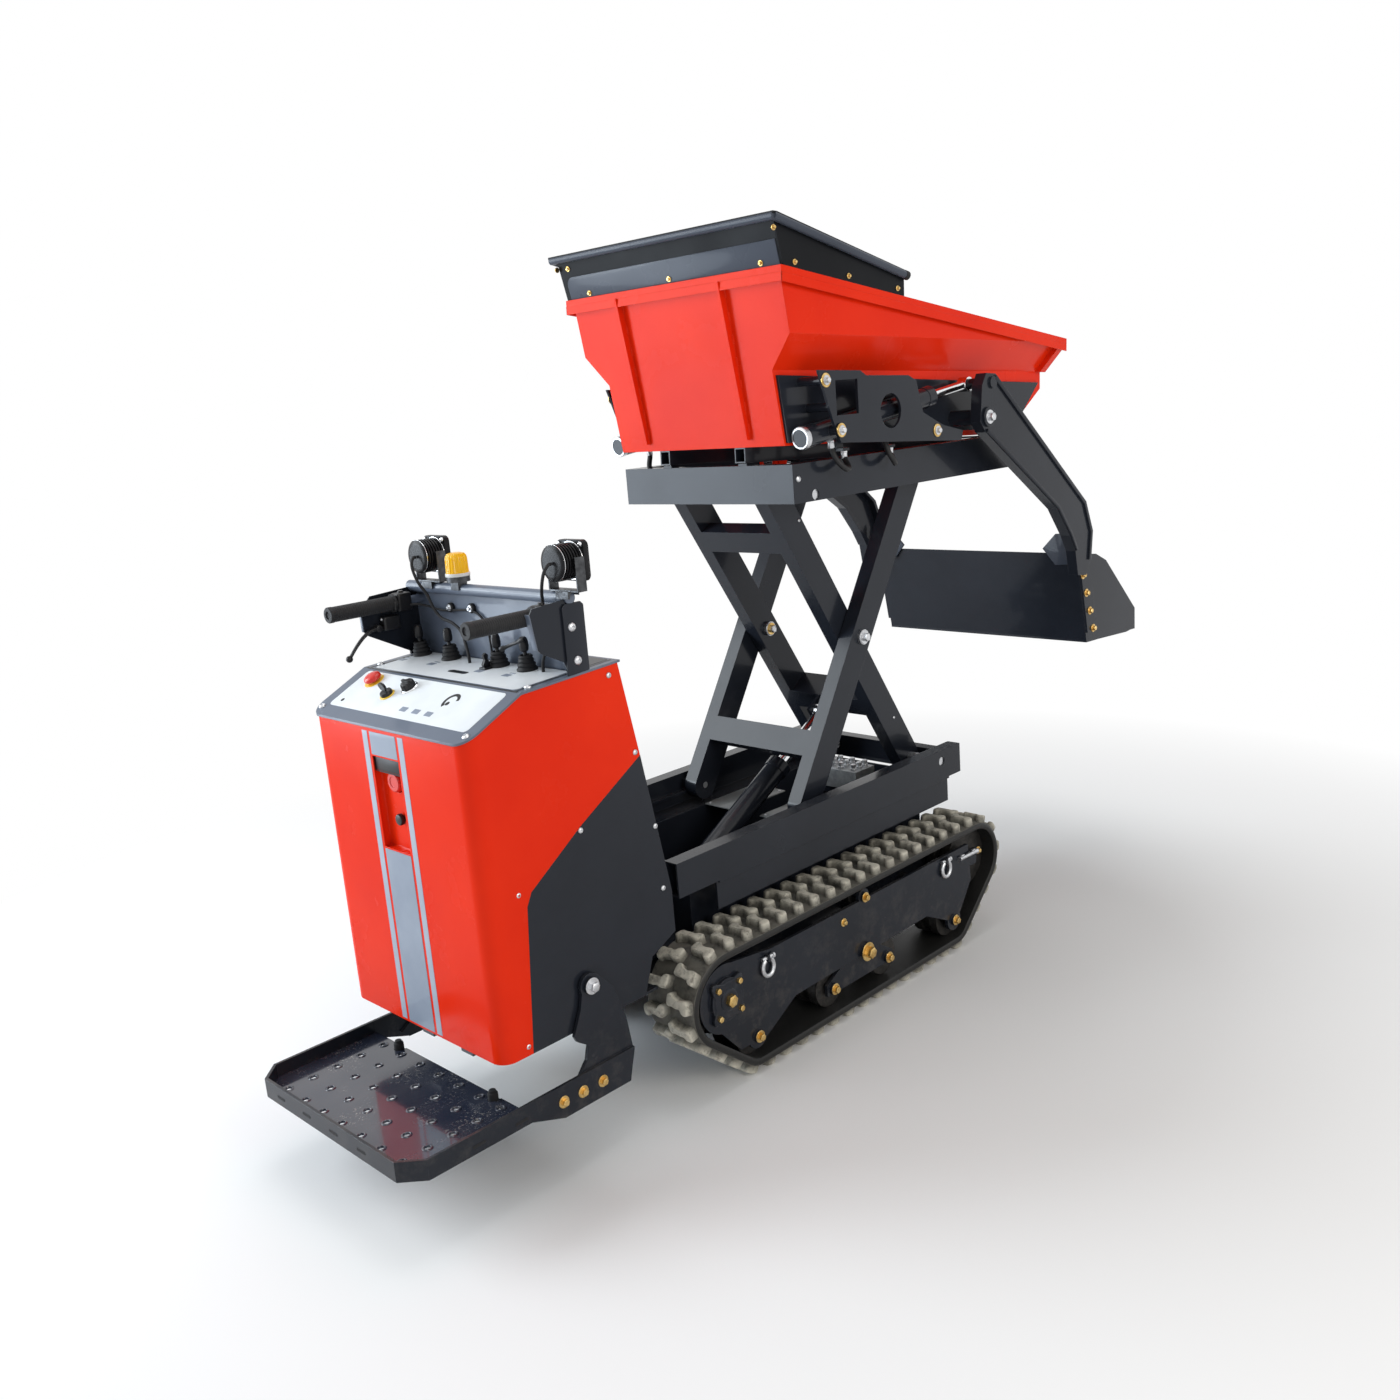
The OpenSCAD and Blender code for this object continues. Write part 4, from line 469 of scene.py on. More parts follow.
# %% Bolts
RIGHT_SIDE = (0, -1, 0)
LEFT_SIDE = (0, 1, 0)
HUB_X = -564
HUB_Z = 262
COVER_SIDE = 326
SUNK_SIDE = 322.8
POST_SIDE = 332
PLATFORM_HALF = 348
HEX_TURN = 0.4
BUTTON = [(1, 0), (1, 0.14), (0.9, 0.38), (0.62, 0.56), (0.40, 0.60), (0.36, 0.30), (0.1, 0.28)]


def hex_bolt(bm, base, axis, flats):
    head = flats * 0.62
    rim = head * 1.55
    turn(bm, base, axis, [(rim, 0), (rim, 1.6), (rim - 0.7, 2.3), (flats * 0.5, 2.3)], 24)
    corner = flats / math.sqrt(3)
    start = base + axis.normalized() * 2.2 * MM
    turn(bm, start, axis, [(corner, 0), (corner, head - 1.2), (corner * 0.86, head),
                           (corner * 0.3, head + 0.3)], 6, HEX_TURN)


def button_screw(bm, base, axis, radius):
    turn(bm, base, axis, [(radius * wide, radius * high) for wide, high in BUTTON], 20)


def bolts(name, finish, body, spots, maker=hex_bolt):
    bm = bmesh.new()
    for place, axis, size in spots:
        maker(bm, at(*place), Vector(axis), size)
    print(name, len(spots))
    return piece(name, bm, finish, body)


def both_sides(*table):
    spots = []
    for x, z, y, size in table:
        spots += [((x, -y, z), RIGHT_SIDE, size), ((x, y, z), LEFT_SIDE, size)]
    return spots


hub_corners = [(HUB_X + dx, HUB_Z + dz, 394, 15) for dx in (-40, 42) for dz in (-40, 40)]
roller_axles = [(-450, 104, 391, 18), (505, 104, 391, 18), (-108, 104, 381, 18), (156, 104, 381, 18)]
frame_bolts = [(HUB_X, HUB_Z, 394, 30), (39, 170, 393, 30), (-57, 296, 384, 13), (43, 341.6, 390, 16),
               (655, 296, 384, 13)]
bolts("track_bolts", gold_zinc, "chassis", both_sides(*hub_corners, *roller_axles, *frame_bolts))
cover_places = [(-946, 838), (-699, 608), (-707, 777), (-751, 982), (-812, 1189)]
cover_screws = [(x, z, COVER_SIDE, 7.5) for x, z in cover_places]
sunk_screws = [(x, z, SUNK_SIDE, 7.5) for x, z in ((-1144, 740), (-1166, 368))]
bolts("console_screws", white_zinc, "chassis", both_sides(*cover_screws, *sunk_screws), button_screw)
post_screws = both_sides((-914, 1325, POST_SIDE, 11), (-906, 1245, POST_SIDE, 11))
bolts("post_screws", white_zinc, "chassis", post_screws, button_screw)
hook_bolts = [(x, z, PLATFORM_HALF, 16) for x, z in ((-1100, 201), (-1039, 200), (-975, 199))]
bolts("platform_bolts", gold_zinc, "platform", both_sides(*hook_bolts))
bolts("platform_pins", white_zinc, "chassis", both_sides((-977, 454, PLATFORM_HALF, 22)))

# %% [markdown]
# Hoses and leads are flexible, so they are curves with a round section instead of solids. Each one
# follows the same points as the drawing's plain tube, smoothed by a spline through them. Both loader
# hoses of a side hang from their cylinder, and each lamp has one lead that runs down to the dash.

# %% Hoses and lamp leads
HOSE_R = 8.0
LEAD_R = 4.0
LINE_STEPS = 4
hose_rear = [(30, 362, 1674.2), (32.8, 362, 1652.4), (36, 372, 1626), (46, 382, 1606), (64, 384, 1594),
             (84, 378, 1592), (98, 366, 1600), (106, 352, 1612), (109, 344, 1626), (109, 344, 1639.6)]
hose_front = [(262, 362, 1704.2), (264.8, 362, 1682.4), (267, 372, 1646), (272, 380, 1618),
              (284, 384, 1598), (300, 378, 1588), (314, 364, 1594), (321, 352, 1606), (324, 344, 1618),
              (324, 344, 1631.6)]
near_lead = [(-950.6, -326, 1476), (-958, -326, 1475), (-966, -320, 1462), (-967, -310, 1440),
             (-958, -292, 1412), (-941, -270, 1385), (-932, -262, 1330), (-928, -245, 1270),
             (-930, -232, 1236), (-930, -230, 1212.8)]
far_lead = [(-950.6, 222, 1476), (-958, 222, 1475), (-966, 220, 1462), (-967, 215, 1440), (-960, 208, 1410),
            (-944, 202, 1380), (-935, 192, 1342), (-930, 170, 1318), (-928, 130, 1308), (-930, 90, 1288),
            (-938, 64, 1254), (-942, 52, 1230), (-942, 51, 1212.15)]


def swept(name, path, radius, finish, body):
    curve = bpy.data.curves.new(name, "CURVE")
    curve.dimensions = "3D"
    curve.bevel_depth = radius * MM
    curve.bevel_resolution = 4
    curve.use_fill_caps = True
    line = curve.splines.new("POLY")
    line.points.add(len(path) - 1)
    for spot, p in zip(line.points, path):
        spot.co = (p.x, p.y, p.z, 1.0)
    curve.materials.append(finish)
    made = placed(name, curve)
    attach(made, body)
    return made


def free_line(name, route, radius, finish, body, solid=None):
    points = [at(*p) for p in route]
    path = smooth_path(points, LINE_STEPS)
    made = swept(name, path, radius, finish, body)
    if solid:
        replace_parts(made, solid)


def mirrored(route):
    return [(x, -y, z) for x, y, z in route]


for end, route in (("rear", hose_rear), ("front", hose_front)):
    for side, points in (("left", route), ("right", mirrored(route))):
        free_line("hose_" + end + "_" + side, points, HOSE_R, hose_rubber, "loader_barrels", "loader_hoses")
free_line("lead_right", near_lead, LEAD_R, black_rubber, "chassis", "lamp_cables")
free_line("lead_left", far_lead, LEAD_R, black_rubber, "chassis", "lamp_cables")

# %% [markdown]
# The rubber tracks are the part that takes most skill. A belt is one loop round four wheels, made of
# straight runs and arcs that meet without a kink. The path below gives, for any distance along the
# belt, the point on its inner face and the direction that points outward there.

# %% Belt path
WHEELS = [(-450, 104, 60), (505, 104, 60), (632, 274, 101), (HUB_X, HUB_Z, 113)]
BELT_T = 20.0
LUG_H = 24.0


def arc_run(x, z, radius, start, swing):
    def spot(share):
        nx = math.cos(start + swing * share)
        nz = math.sin(start + swing * share)
        return x + radius * nx, z + radius * nz, nx, nz
    return (radius + BELT_T) * swing, spot


def line_run(x0, z0, x1, z1, nx, nz):
    def spot(share):
        return x0 + (x1 - x0) * share, z0 + (z1 - z0) * share, nx, nz
    return math.hypot(x1 - x0, z1 - z0), spot


def outward(wheel, following):
    x0, z0, r0 = wheel
    x1, z1, r1 = following
    gap = math.hypot(x1 - x0, z1 - z0)
    dx = (x1 - x0) / gap
    dz = (z1 - z0) / gap
    lean = (r0 - r1) / gap
    side = math.sqrt(1 - lean * lean)
    return dx * lean + dz * side, dz * lean - dx * side


def belt_runs():
    following = WHEELS[1:] + WHEELS[:1]
    outs = [outward(a, b) for a, b in zip(WHEELS, following)]
    runs = []
    for i, (x, z, r) in enumerate(WHEELS):
        nx, nz = outs[i]
        before = math.atan2(outs[i - 1][1], outs[i - 1][0])
        swing = (math.atan2(nz, nx) - before) % (2 * math.pi)
        runs.append(arc_run(x, z, r, before, swing))
        x1, z1, r1 = following[i]
        runs.append(line_run(x + r * nx, z + r * nz, x1 + r1 * nx, z1 + r1 * nz, nx, nz))
    return runs


RUNS = belt_runs()
BELT_LENGTH = sum(length for length, spot in RUNS)
BOTTOM_START = RUNS[0][0]


def belt_point(s, y, height):
    s = s % BELT_LENGTH
    for length, spot in RUNS:
        if s <= length:
            break
        s -= length
    x, z, nx, nz = spot(s / length)
    return at(x + nx * height, y, z + nz * height)


print("belt length at its outer face:", round(BELT_LENGTH), "mm")

# %% [markdown]
# Each lug is an S-shaped block with tapered flanks, moulded onto the belt in two rows that are offset
# by half a pitch. Its outline is drawn flat and laid onto the path, so lugs fan out round the wheels
# as real rubber does. The mesh also keeps how far each point stands off, for the mud in the finish.

# %% Track belts
BELT_STOPS = 220
FACE_HEIGHT = 16
LUG_COUNT = round(BELT_LENGTH / 71.48)
LUG_PITCH = BELT_LENGTH / LUG_COUNT
FIRST_LUG = BOTTOM_START + 463.84
LUG_MIDDLE = 40
LUG_ROWS = [(0.0, 313, 1), (0.5, 227, -1)]
lug_outline = [(-20, 2), (-8, 0), (8, 1), (11, 10), (9, 22), (12, 36), (10, 50), (13, 58), (22, 62),
               (23, 76), (14, 80), (-6, 79), (-13, 70), (-12, 56), (-9, 44), (-12, 30), (-14, 20),
               (-22, 16)]
belt_section = [(220, 5), (224, 0), (396, 0), (400, 5), (400, 15), (396, 20), (355, 20.6), (316, 20),
                (312, 17.5), (308, 17.5), (304, 20), (265, 20.6), (224, 20), (220, 15)]
lug_steps = [(0.0, 1.10), (0.30, 1.03), (0.72, 0.97), (0.92, 0.92), (1.0, 0.80)]


def rounded_outline(outline):
    soft = []
    for (u, v), (nu, nv) in zip(outline, outline[1:] + outline[:1]):
        soft.append((u * 0.75 + nu * 0.25, v * 0.75 + nv * 0.25))
        soft.append((u * 0.25 + nu * 0.75, v * 0.25 + nv * 0.75))
    return soft


def track_belt(name, side, solid):
    bm = bmesh.new()
    rise = bm.verts.layers.float.new("lug_rise")

    def vertex(s, y, height, stands_off):
        made = bm.verts.new(belt_point(s, side * y, height))
        made[rise] = stands_off
        return made

    rows = []
    for k in range(BELT_STOPS):
        s = BELT_LENGTH * k / BELT_STOPS
        rows.append([vertex(s, y, h, 0.42 if h > FACE_HEIGHT else 0.04) for y, h in belt_section])
    wrap(bm, rows, True)
    for shift, low, mirror in LUG_ROWS:
        for k in range(LUG_COUNT):
            s = FIRST_LUG + (k + shift) * LUG_PITCH
            rows = []
            for share, scale in lug_steps:
                row = []
                for u, v in rounded_outline(lug_outline):
                    across = low + LUG_MIDDLE + (v - LUG_MIDDLE) * (0.5 + scale / 2) * 0.985
                    height = BELT_T - 1 + share * (LUG_H + 0.8)
                    row.append(vertex(s + u * scale * mirror, across, height, 0.5 + 0.5 * share ** 2))
                rows.append(row)
            close(bm, rows)
    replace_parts(piece(name, bm, track_rubber, "chassis", 50), solid)


track_belt("belt_right", -1, "track_right")
track_belt("belt_left", 1, "track_left")
print("lugs in a row:", LUG_COUNT, "pitch:", round(LUG_PITCH, 2), "mm")

# %% [markdown]
# The drive hub sits behind a four-armed casting, bolted at its corners. Its edge is a circle with four
# soft lobes, which one cosine gives. Beside it go the tension rod of the idler and the bow shackles for
# the lifting straps: a bent round bar with two eyes and a pin across them.

# %% Hub castings, tension rods and shackles
HUB_R = 52
HUB_LOBE = 27
ROD_BLOCKS = [(548, 566, 303), (612, 628, 302)]
SHACKLE_PLACES = [(-400, 318), (459, 322)]
BOW_STEPS = 24
TO_FRONT = Vector((1, 0, 0))
TO_LEFT = Vector((0, 1, 0))


def hub_castings():
    bm = bmesh.new()
    for side in SIDES:
        rings = []
        for y, trim in [(385, 1.0), (394.5, 1.0), (397, 0.95)]:
            ring = []
            for a in turns(72):
                r = (HUB_R + HUB_LOBE * ((1 - math.cos(4 * a)) / 2) ** 3) * trim
                ring.append(at(HUB_X + r * math.cos(a), side * y, HUB_Z + r * math.sin(a)))
            rings.append(ring)
        skin(bm, rings)
        turn(bm, at(HUB_X, side * 396, HUB_Z), TO_LEFT * side, [(31, 0), (31, 3), (27, 5), (20, 5)], 40)
    piece("hub_castings", bm, dark_paint, "chassis")


def tension_rods():
    bm = bmesh.new()
    for side in SIDES:
        turn(bm, at(536, side * 392, 303), Vector((1, 0, -0.02)),
             [(8, 0), (8, 4), (7, 6), (7, 92), (9, 93), (9, 101), (7, 102)], 20)
        for x0, x1, z in ROD_BLOCKS:
            rounded_block(bm, at(x0, side * 388 - 5, z - 9), at(x1, side * 388 + 5, z + 9), 2)
    piece("tension_rods", bm, white_zinc, "chassis")


def bent_bar(bm, path, section, count):
    rings = []
    for i, spot in enumerate(path):
        way = (path[min(i + 1, len(path) - 1)] - path[max(i - 1, 0)]).normalized()
        flat = way.cross(TO_LEFT)
        thin, wide = section(i / (len(path) - 1))
        rings.append([spot + (flat * thin * math.cos(a) + TO_LEFT * wide * math.sin(a)) * MM
                      for a in turns(count)])
    skin(bm, rings)


def bow_shackles():
    bm = bmesh.new()
    for side in SIDES:
        for x, z in SHACKLE_PLACES:
            eye = at(x, side * 390.5, z)
            turn(bm, eye - TO_FRONT * 21 * MM, TO_FRONT,
                 [(6.2, 0), (6.2, 40), (9, 41), (9, 47), (7, 48)], 18)
            angles = [math.radians(118 + 304 * k / BOW_STEPS) for k in range(BOW_STEPS + 1)]
            bow = [eye + Vector((22 * math.cos(a), side * 2, 25 * math.sin(a) - 27)) * MM for a in angles]
            bent_bar(bm, bow, lambda share: (6.3, 6.3), 14)
    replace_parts(piece("bow_shackles", bm, white_zinc, "chassis"), "shackles")


hub_castings()
tension_rods()
bow_shackles()
print("track trim ready")

# %% [markdown]
# The rear cover wears a broad stripe: a grey band down the middle between two pale lines. On the machine
# it is thin foil stuck to the sheet, so each band is a slab half a millimetre thick that stops at the
# window. Behind the window sit the filler cap of the tank and a small drain knob, in a red pan.

# %% Rear stripe and window
COVER_X = -1243.0
STRIPE_Y = 6.5
BAND_HALF = 56
LINE_NEAR = 66
LINE_FAR = 88
STRIPE_LOW = 352
STRIPE_HIGH = 1106
WINDOW_LOW = 811
WINDOW_HIGH = 1049
CAP_Z = 985
PAN_Y = (-52, 65)
PAN_Z = (813, 1011)
PAN_RINGS = [(-1239.6, 0, math.inf), (-1226, 1.0, math.inf), (-1223, 4.0, math.inf), (-1223, 5, 29.5),
             (-1221.5, 6, 28), (-1212, 6, 28)]
TO_REAR = Vector((-1, 0, 0))


def foil(bm, y0, y1, z0, z1):
    corners = ((y0, z0), (y1, z0), (y1, z1), (y0, z1))
    slab(bm, [at(COVER_X, STRIPE_Y + y, z) for y, z in corners], TO_REAR * 0.5 * MM)


def rear_stripe():
    band = bmesh.new()
    foil(band, -BAND_HALF, BAND_HALF, STRIPE_LOW, WINDOW_LOW)
    foil(band, -BAND_HALF, BAND_HALF, WINDOW_HIGH, STRIPE_HIGH)
    piece("stripe_band", band, grey_decal, "chassis")
    lines = bmesh.new()
    foil(lines, -LINE_FAR, -LINE_NEAR, STRIPE_LOW, STRIPE_HIGH)
    foil(lines, LINE_NEAR, LINE_FAR, STRIPE_LOW, STRIPE_HIGH)
    piece("stripe_lines", lines, pale_decal, "chassis")


def fluted(bm, base, axis, profile, ribs, depth):
    axis, side, up = square_to(axis)
    rings = []
    for radius, height, share in profile:
        ring = []
        for k, a in enumerate(turns(ribs * 4)):
            r = max(radius - (depth * share if k % 4 > 1 else 0), TIP_R)
            ring.append(base + axis * height * MM + (side * math.cos(a) + up * math.sin(a)) * r * MM)
        rings.append(ring)
    skin(bm, rings)


def window_trim():
    bm = bmesh.new()
    rounded_block(bm, at(-1238.5, -56, 1006), at(-1234, 69, 1056), 1.0)
    turn(bm, at(-1223, -7, 893), TO_REAR, [(9, 0), (9, 4), (14, 5), (14.5, 12), (13, 15), (8, 16)])
    piece("window_strip", bm, black_plastic, "chassis")
    cap = bmesh.new()
    fluted(cap, at(-1199, 0, CAP_Z), TO_REAR,
           [(25, 0, 0), (26, 2, 1), (26, 30, 1), (24.5, 34, 1), (22, 36, 0), (14, 36, 0), (13, 34.5, 0),
            (0, 34.5, 0)], 18, 1.6)
    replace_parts(piece("filler_cap", cap, red_plastic, "tank_cap"), "tank_cap")


def pan_reach(angle):
    cos = math.cos(angle)
    sin = math.sin(angle)
    across = (PAN_Y[1] if cos > 0 else -PAN_Y[0]) / max(abs(cos), 1e-6)
    upright = (PAN_Z[1] - CAP_Z if sin > 0 else CAP_Z - PAN_Z[0]) / max(abs(sin), 1e-6)
    return min(across, upright)


def window_pan():
    corners = [math.atan2(z - CAP_Z, y) for y in PAN_Y for z in PAN_Z]
    angles = sorted([a - math.pi for a in turns(48)] + corners)
    rings = []
    for x, trim, most in PAN_RINGS:
        sizes = [min(most, pan_reach(a) - trim) for a in angles]
        rings.append([at(x, r * math.cos(a), CAP_Z + r * math.sin(a)) for a, r in zip(angles, sizes)])
    bm = bmesh.new()
    skin(bm, rings, (False, False))
    piece("window_pan", bm, red_paint, "chassis")


rear_stripe()
window_trim()
window_pan()
print("stripe and window ready")

# %% [markdown]
# The dash is a bent plate with two white foils on it, one on the slope and one on the deck, parted by a
# black seam at the fold. The marks on them are kept generic: an arc with a dot for the throttle, short
# bars beside the levers. Every foil is laid on the plate by one function that knows its two slopes.

# %% Dash foils
FOLD_X = -1077.0
FOLD_Z = 1204.55
SLOPE_RISE = 80 / 166
DECK_RISE = 16 / 296
SEAM_END = 318
LEVER_X = -931
LEVER_YS = (280, 146, -59, -170)


def dash_top(x):
    rise = SLOPE_RISE if x < FOLD_X else DECK_RISE
    return FOLD_Z + (x - FOLD_X) * rise


def dash_up(x):
    rise = SLOPE_RISE if x < FOLD_X else DECK_RISE
    return Vector((-rise, 0, 1)).normalized()


def soft_corners(x0, x1, y0, y1, radius, steps=5):
    points = []
    for cx, cy, start in ((x1 - radius, y1 - radius, 0), (x0 + radius, y1 - radius, 90),
                          (x0 + radius, y0 + radius, 180), (x1 - radius, y0 + radius, 270)):
        for k in range(steps + 1):
            a = math.radians(start + 90 * k / steps)
            points.append((cx + radius * math.cos(a), cy + radius * math.sin(a)))
    return points


def plain_box(x0, x1, y0, y1):
    return [(x0, y0), (x1, y0), (x1, y1), (x0, y1)]


def arc_mark(x, y, radius, width, start, end, steps=16):
    angles = [math.radians(start + (end - start) * k / steps) for k in range(steps + 1)]
    outer = [(x + radius * math.cos(a), y + radius * math.sin(a)) for a in angles]
    inner = [(x + (radius - width) * math.cos(a), y + (radius - width) * math.sin(a)) for a in angles]
    return outer + inner[::-1]


def dash_foil(name, shapes, finish, thick=0.5):
    bm = bmesh.new()
    for outline in shapes:
        middle = sum(x for x, y in outline) / len(outline)
        slab(bm, [at(x, y, dash_top(x)) for x, y in outline], dash_up(middle) * thick * MM)
    piece(name, bm, finish, "chassis")


panels = [soft_corners(-1212, -1086, -294, 294, 12), soft_corners(-1068, -903, -296, 296, 12)]
dash_foil("dash_panels", panels, white_decal)
seams = [plain_box(FOLD_X - 2.5, FOLD_X - 0.1, -SEAM_END, SEAM_END),
         plain_box(FOLD_X + 0.1, FOLD_X + 3, -SEAM_END, SEAM_END)]
seams += [plain_box(FOLD_X + 3, -786, side * 303, side * 311) for side in SIDES]
seams.append(soft_corners(-888, -786, -300, 300, 6))
dash_foil("dash_seams", seams, black_plastic)
dark_marks = [soft_corners(-1022, -1004, -36, 40, 8.9), arc_mark(-1135, -137, 24, 8, -80, 150),
              arc_mark(-1144, -134, 6, 5.8, 0, 359), soft_corners(-1196, -1186, 254, 264, 4.9)]
dash_foil("dash_dark_marks", dark_marks, black_plastic, 1.0)
bars = [soft_corners(-1190, -1176, y, y + 26, 2) for y in (-20, -72, -124)]
for y in LEVER_YS:
    bars += [soft_corners(-996, -978, y - 4, y + 22, 2), soft_corners(-972, -966, y - 2, y + 20, 2)]
dash_foil("dash_grey_marks", bars, grey_decal, 0.9)
dash_screws = [((x, y, dash_top(x)), dash_up(x), 9) for x in (-1222, -1040) for y in (-309, 309)]
bolts("dash_screws", white_zinc, "chassis", dash_screws, button_screw)

# %% [markdown]
# Levers stand in bellows that keep water out of the dash. Lever, knob and bellows are all turned shapes:
# a profile of radius and height runs once round an axis. The bellows are open at the top, so that a
# lever can tilt inside. Buttons and switches on the slope use the same way, square to the plate.

# %% Levers and switches
STOP_AT = (-1116, 223)
KEY_AT = (-1151, 111)
ROTARY_AT = (-1118, 60)
lever_profile = [(0, 3), (7, 5), (9, 12), (7, 19), (5, 22), (5, 46), (8.5, 47), (10.6, 50), (12, 60),
                 (11.4, 72), (9.4, 79), (6, 82), (0, 83)]
boot_profile = [(26, 0), (26, 4), (25, 5.2), (21.2, 10), (23, 13.8), (23, 15.4), (18.4, 20), (20, 23.8),
                (20, 25.4), (16.4, 30), (18, 32.8), (18, 34.4), (14.8, 38), (12.6, 38), (12, 36), (12, 28),
                (14.5, 9), (0, 9)]
catch_outline = [(0, 0), (16, 0), (18, 14), (12, 24), (14, 34), (8, 40), (0, 34), (4, 22), (-3, 12)]


def dash_place(spot):
    x, y = spot
    up = dash_up(x)
    along = Vector((up.z, 0, -up.x))
    base = at(x, y, dash_top(x))
    return lambda u, v, h: base + (along * u + Vector((0, v, 0)) + up * h) * MM


def dash_turned(name, spot, profile, finish, body, count, sharp=38.0):
    x, y = spot
    return turned(name, at(x, y, dash_top(x)), dash_up(x), profile, finish, body, count, sharp)


def cross_bar(bm, y):
    top = dash_top(LEVER_X)
    start = at(LEVER_X - 10, y - 14, top + 78)
    way = at(LEVER_X - 22, y + 66, top + 50) - start
    reach = way.length / MM
    turn(bm, start, way, [(4, 0), (5.5, 1.5), (5.5, 22), (4.4, 24), (4.4, reach - 12), (6.5, reach - 10),
                          (6.5, reach), (4, reach + 2)], 18)


def lever_catch():
    bm = bmesh.new()
    top = dash_top(LEVER_X - 34)
    outline = [at(LEVER_X - 40 + u, -52, top + v) for u, v in catch_outline]
    slab(bm, outline, TO_LEFT * 9 * MM, 1.2)
    rounded_block(bm, at(LEVER_X - 46, -62, top - 1), at(LEVER_X - 20, -36, top + 5), 1.5)
    piece("lever_catch", bm, black_plastic, "chassis")


def levers():
    boots = bmesh.new()
    for number, y in enumerate(LEVER_YS, 1):
        base = at(LEVER_X, y, dash_top(LEVER_X))
        lever = bmesh.new()
        turn(lever, base, dash_up(LEVER_X), lever_profile, 24)
        if number == len(LEVER_YS):
            cross_bar(lever, y)
        name = "lever_" + str(number)
        handle = piece("handle_" + str(number), lever, black_plastic, name, 50)
        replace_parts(handle, name)
        turn(boots, base, dash_up(LEVER_X), boot_profile, 36)
    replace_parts(piece("bellows", boots, black_rubber, "chassis", 60), "lever_boots")


def stop_button():
    dash_turned("stop_plate", STOP_AT, [(27, 0), (27, 1.0), (26, 1.5), (9, 1.5)],
                yellow_plastic, "chassis", 40)
    head = dash_turned("stop_head", STOP_AT,
                       [(8, -14), (8, 7.4), (21, 7.4), (23, 8.6), (23, 12), (21.6, 15.6), (18, 18.2),
                        (10, 19.8), (0, 20)], red_plastic, "e_stop", 40, 50)
    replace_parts(head, "e_stop")


def key_switch():
    dash_turned("key_collar", KEY_AT, [(20, 0), (20, 2), (18.6, 3), (12, 3), (11.6, 1)],
                yellow_plastic, "chassis", 36)
    barrel = dash_turned("key_barrel", KEY_AT,
                         [(6, -14), (6, 3.3), (16, 3.4), (16.4, 9), (15, 12), (9, 12.6), (4, 11.6)],
                         black_plastic, "key", 32)
    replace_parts(barrel, "key")
    place = dash_place(KEY_AT)
    bow = bmesh.new()
    outline = [place(-3.5, v - 11, 7 + h) for v, h in soft_corners(-1, 23, 9, 30, 8)]
    slab(bow, outline, place(3.5, 0, 0) - place(-3.5, 0, 0), 1.4)
    shank = [place(-1.6, v, h) for v, h in plain_box(-5, 5, 11, 19)]
    slab(bow, shank, place(1.6, 0, 0) - place(-1.6, 0, 0))
    piece("key_bow", bow, black_plastic, "key")


def rotary_switch():
    x, y = ROTARY_AT
    dash_turned("rotary_collar", ROTARY_AT, [(23, 0), (23, 2.4), (21.4, 4), (19.6, 4), (19, 0.6)],
                chrome, "chassis", 36)
    knob = bmesh.new()
    fluted(knob, at(x, y, dash_top(x)), dash_up(x),
           [(5, -14, 0), (5, 0.5, 0), (18.4, 0.6, 0), (18.4, 5, 1), (18, 14, 1), (16.4, 18, 1), (14, 19, 0),
            (0, 19, 0)], 14, 1.5)
    place = dash_place(ROTARY_AT)
    outline = [place(u, v, 18) for u, v in soft_corners(-4, 4, -16, 16, 3)]
    slab(knob, outline, place(0, 0, 6) - place(0, 0, 0), 1.0)
    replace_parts(piece("rotary_handle", knob, black_plastic, "rotary_knob"), "rotary_knob")


levers()
lever_catch()
stop_button()
key_switch()
rotary_switch()
print("levers:", len(LEVER_YS), "switches: 3")

# %% [markdown]
# The handlebar is a folded sheet between two posts, with a tube across its top and a wing on each side.
# The wing on the left reaches further back, because it carries the brake. Sheets are slabs with a small
# bevel, and each has its own finish: the shield, the tube and the wing flanges take a blue-grey paint that
# is partly a painted sky reflection, and the wings keep the dark paint.

# %% Shield, wings and posts
SHIELD_X = -898
SHIELD_HALF = 326
SHIELD_FOOT = dash_top(SHIELD_X) + 0.6
TUBE_X = -908
TUBE_Z = 1392
TUBE_LENGTH = 664
POST_TOP = TUBE_Z - 12
POST_X = (-936, -872)
GRIP_Y = 293
GRIP_Z = 1360
left_wing = [(-897, SHIELD_FOOT), (-926, SHIELD_FOOT), (-1056, 1282), (-1070, 1296), (-1071, 1340),
             (-1062, 1360), (-1038, 1384), (-897, TUBE_Z)]
right_wing = [(-897, SHIELD_FOOT), (-928, SHIELD_FOOT), (-940, 1246), (-1004, 1278), (-1013, 1288),
              (-1026, 1372), (-1018, 1384), (-897, TUBE_Z)]


def sheet_y(bm, outline, y0, y1):
    slab(bm, [at(x, y0, z) for x, z in outline], Vector((0, (y1 - y0) * MM, 0)), 0.8)


def shield():
    bm = bmesh.new()
    corners = plain_box(-SHIELD_HALF, SHIELD_HALF, SHIELD_FOOT, TUBE_Z)
    slab(bm, [at(SHIELD_X + 4, y, z) for y, z in corners], TO_REAR * 4 * MM, 0.8)
    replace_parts(piece("shield_sheet", bm, bezel_grey_and_painted_sky, "chassis"), "bar_panel")


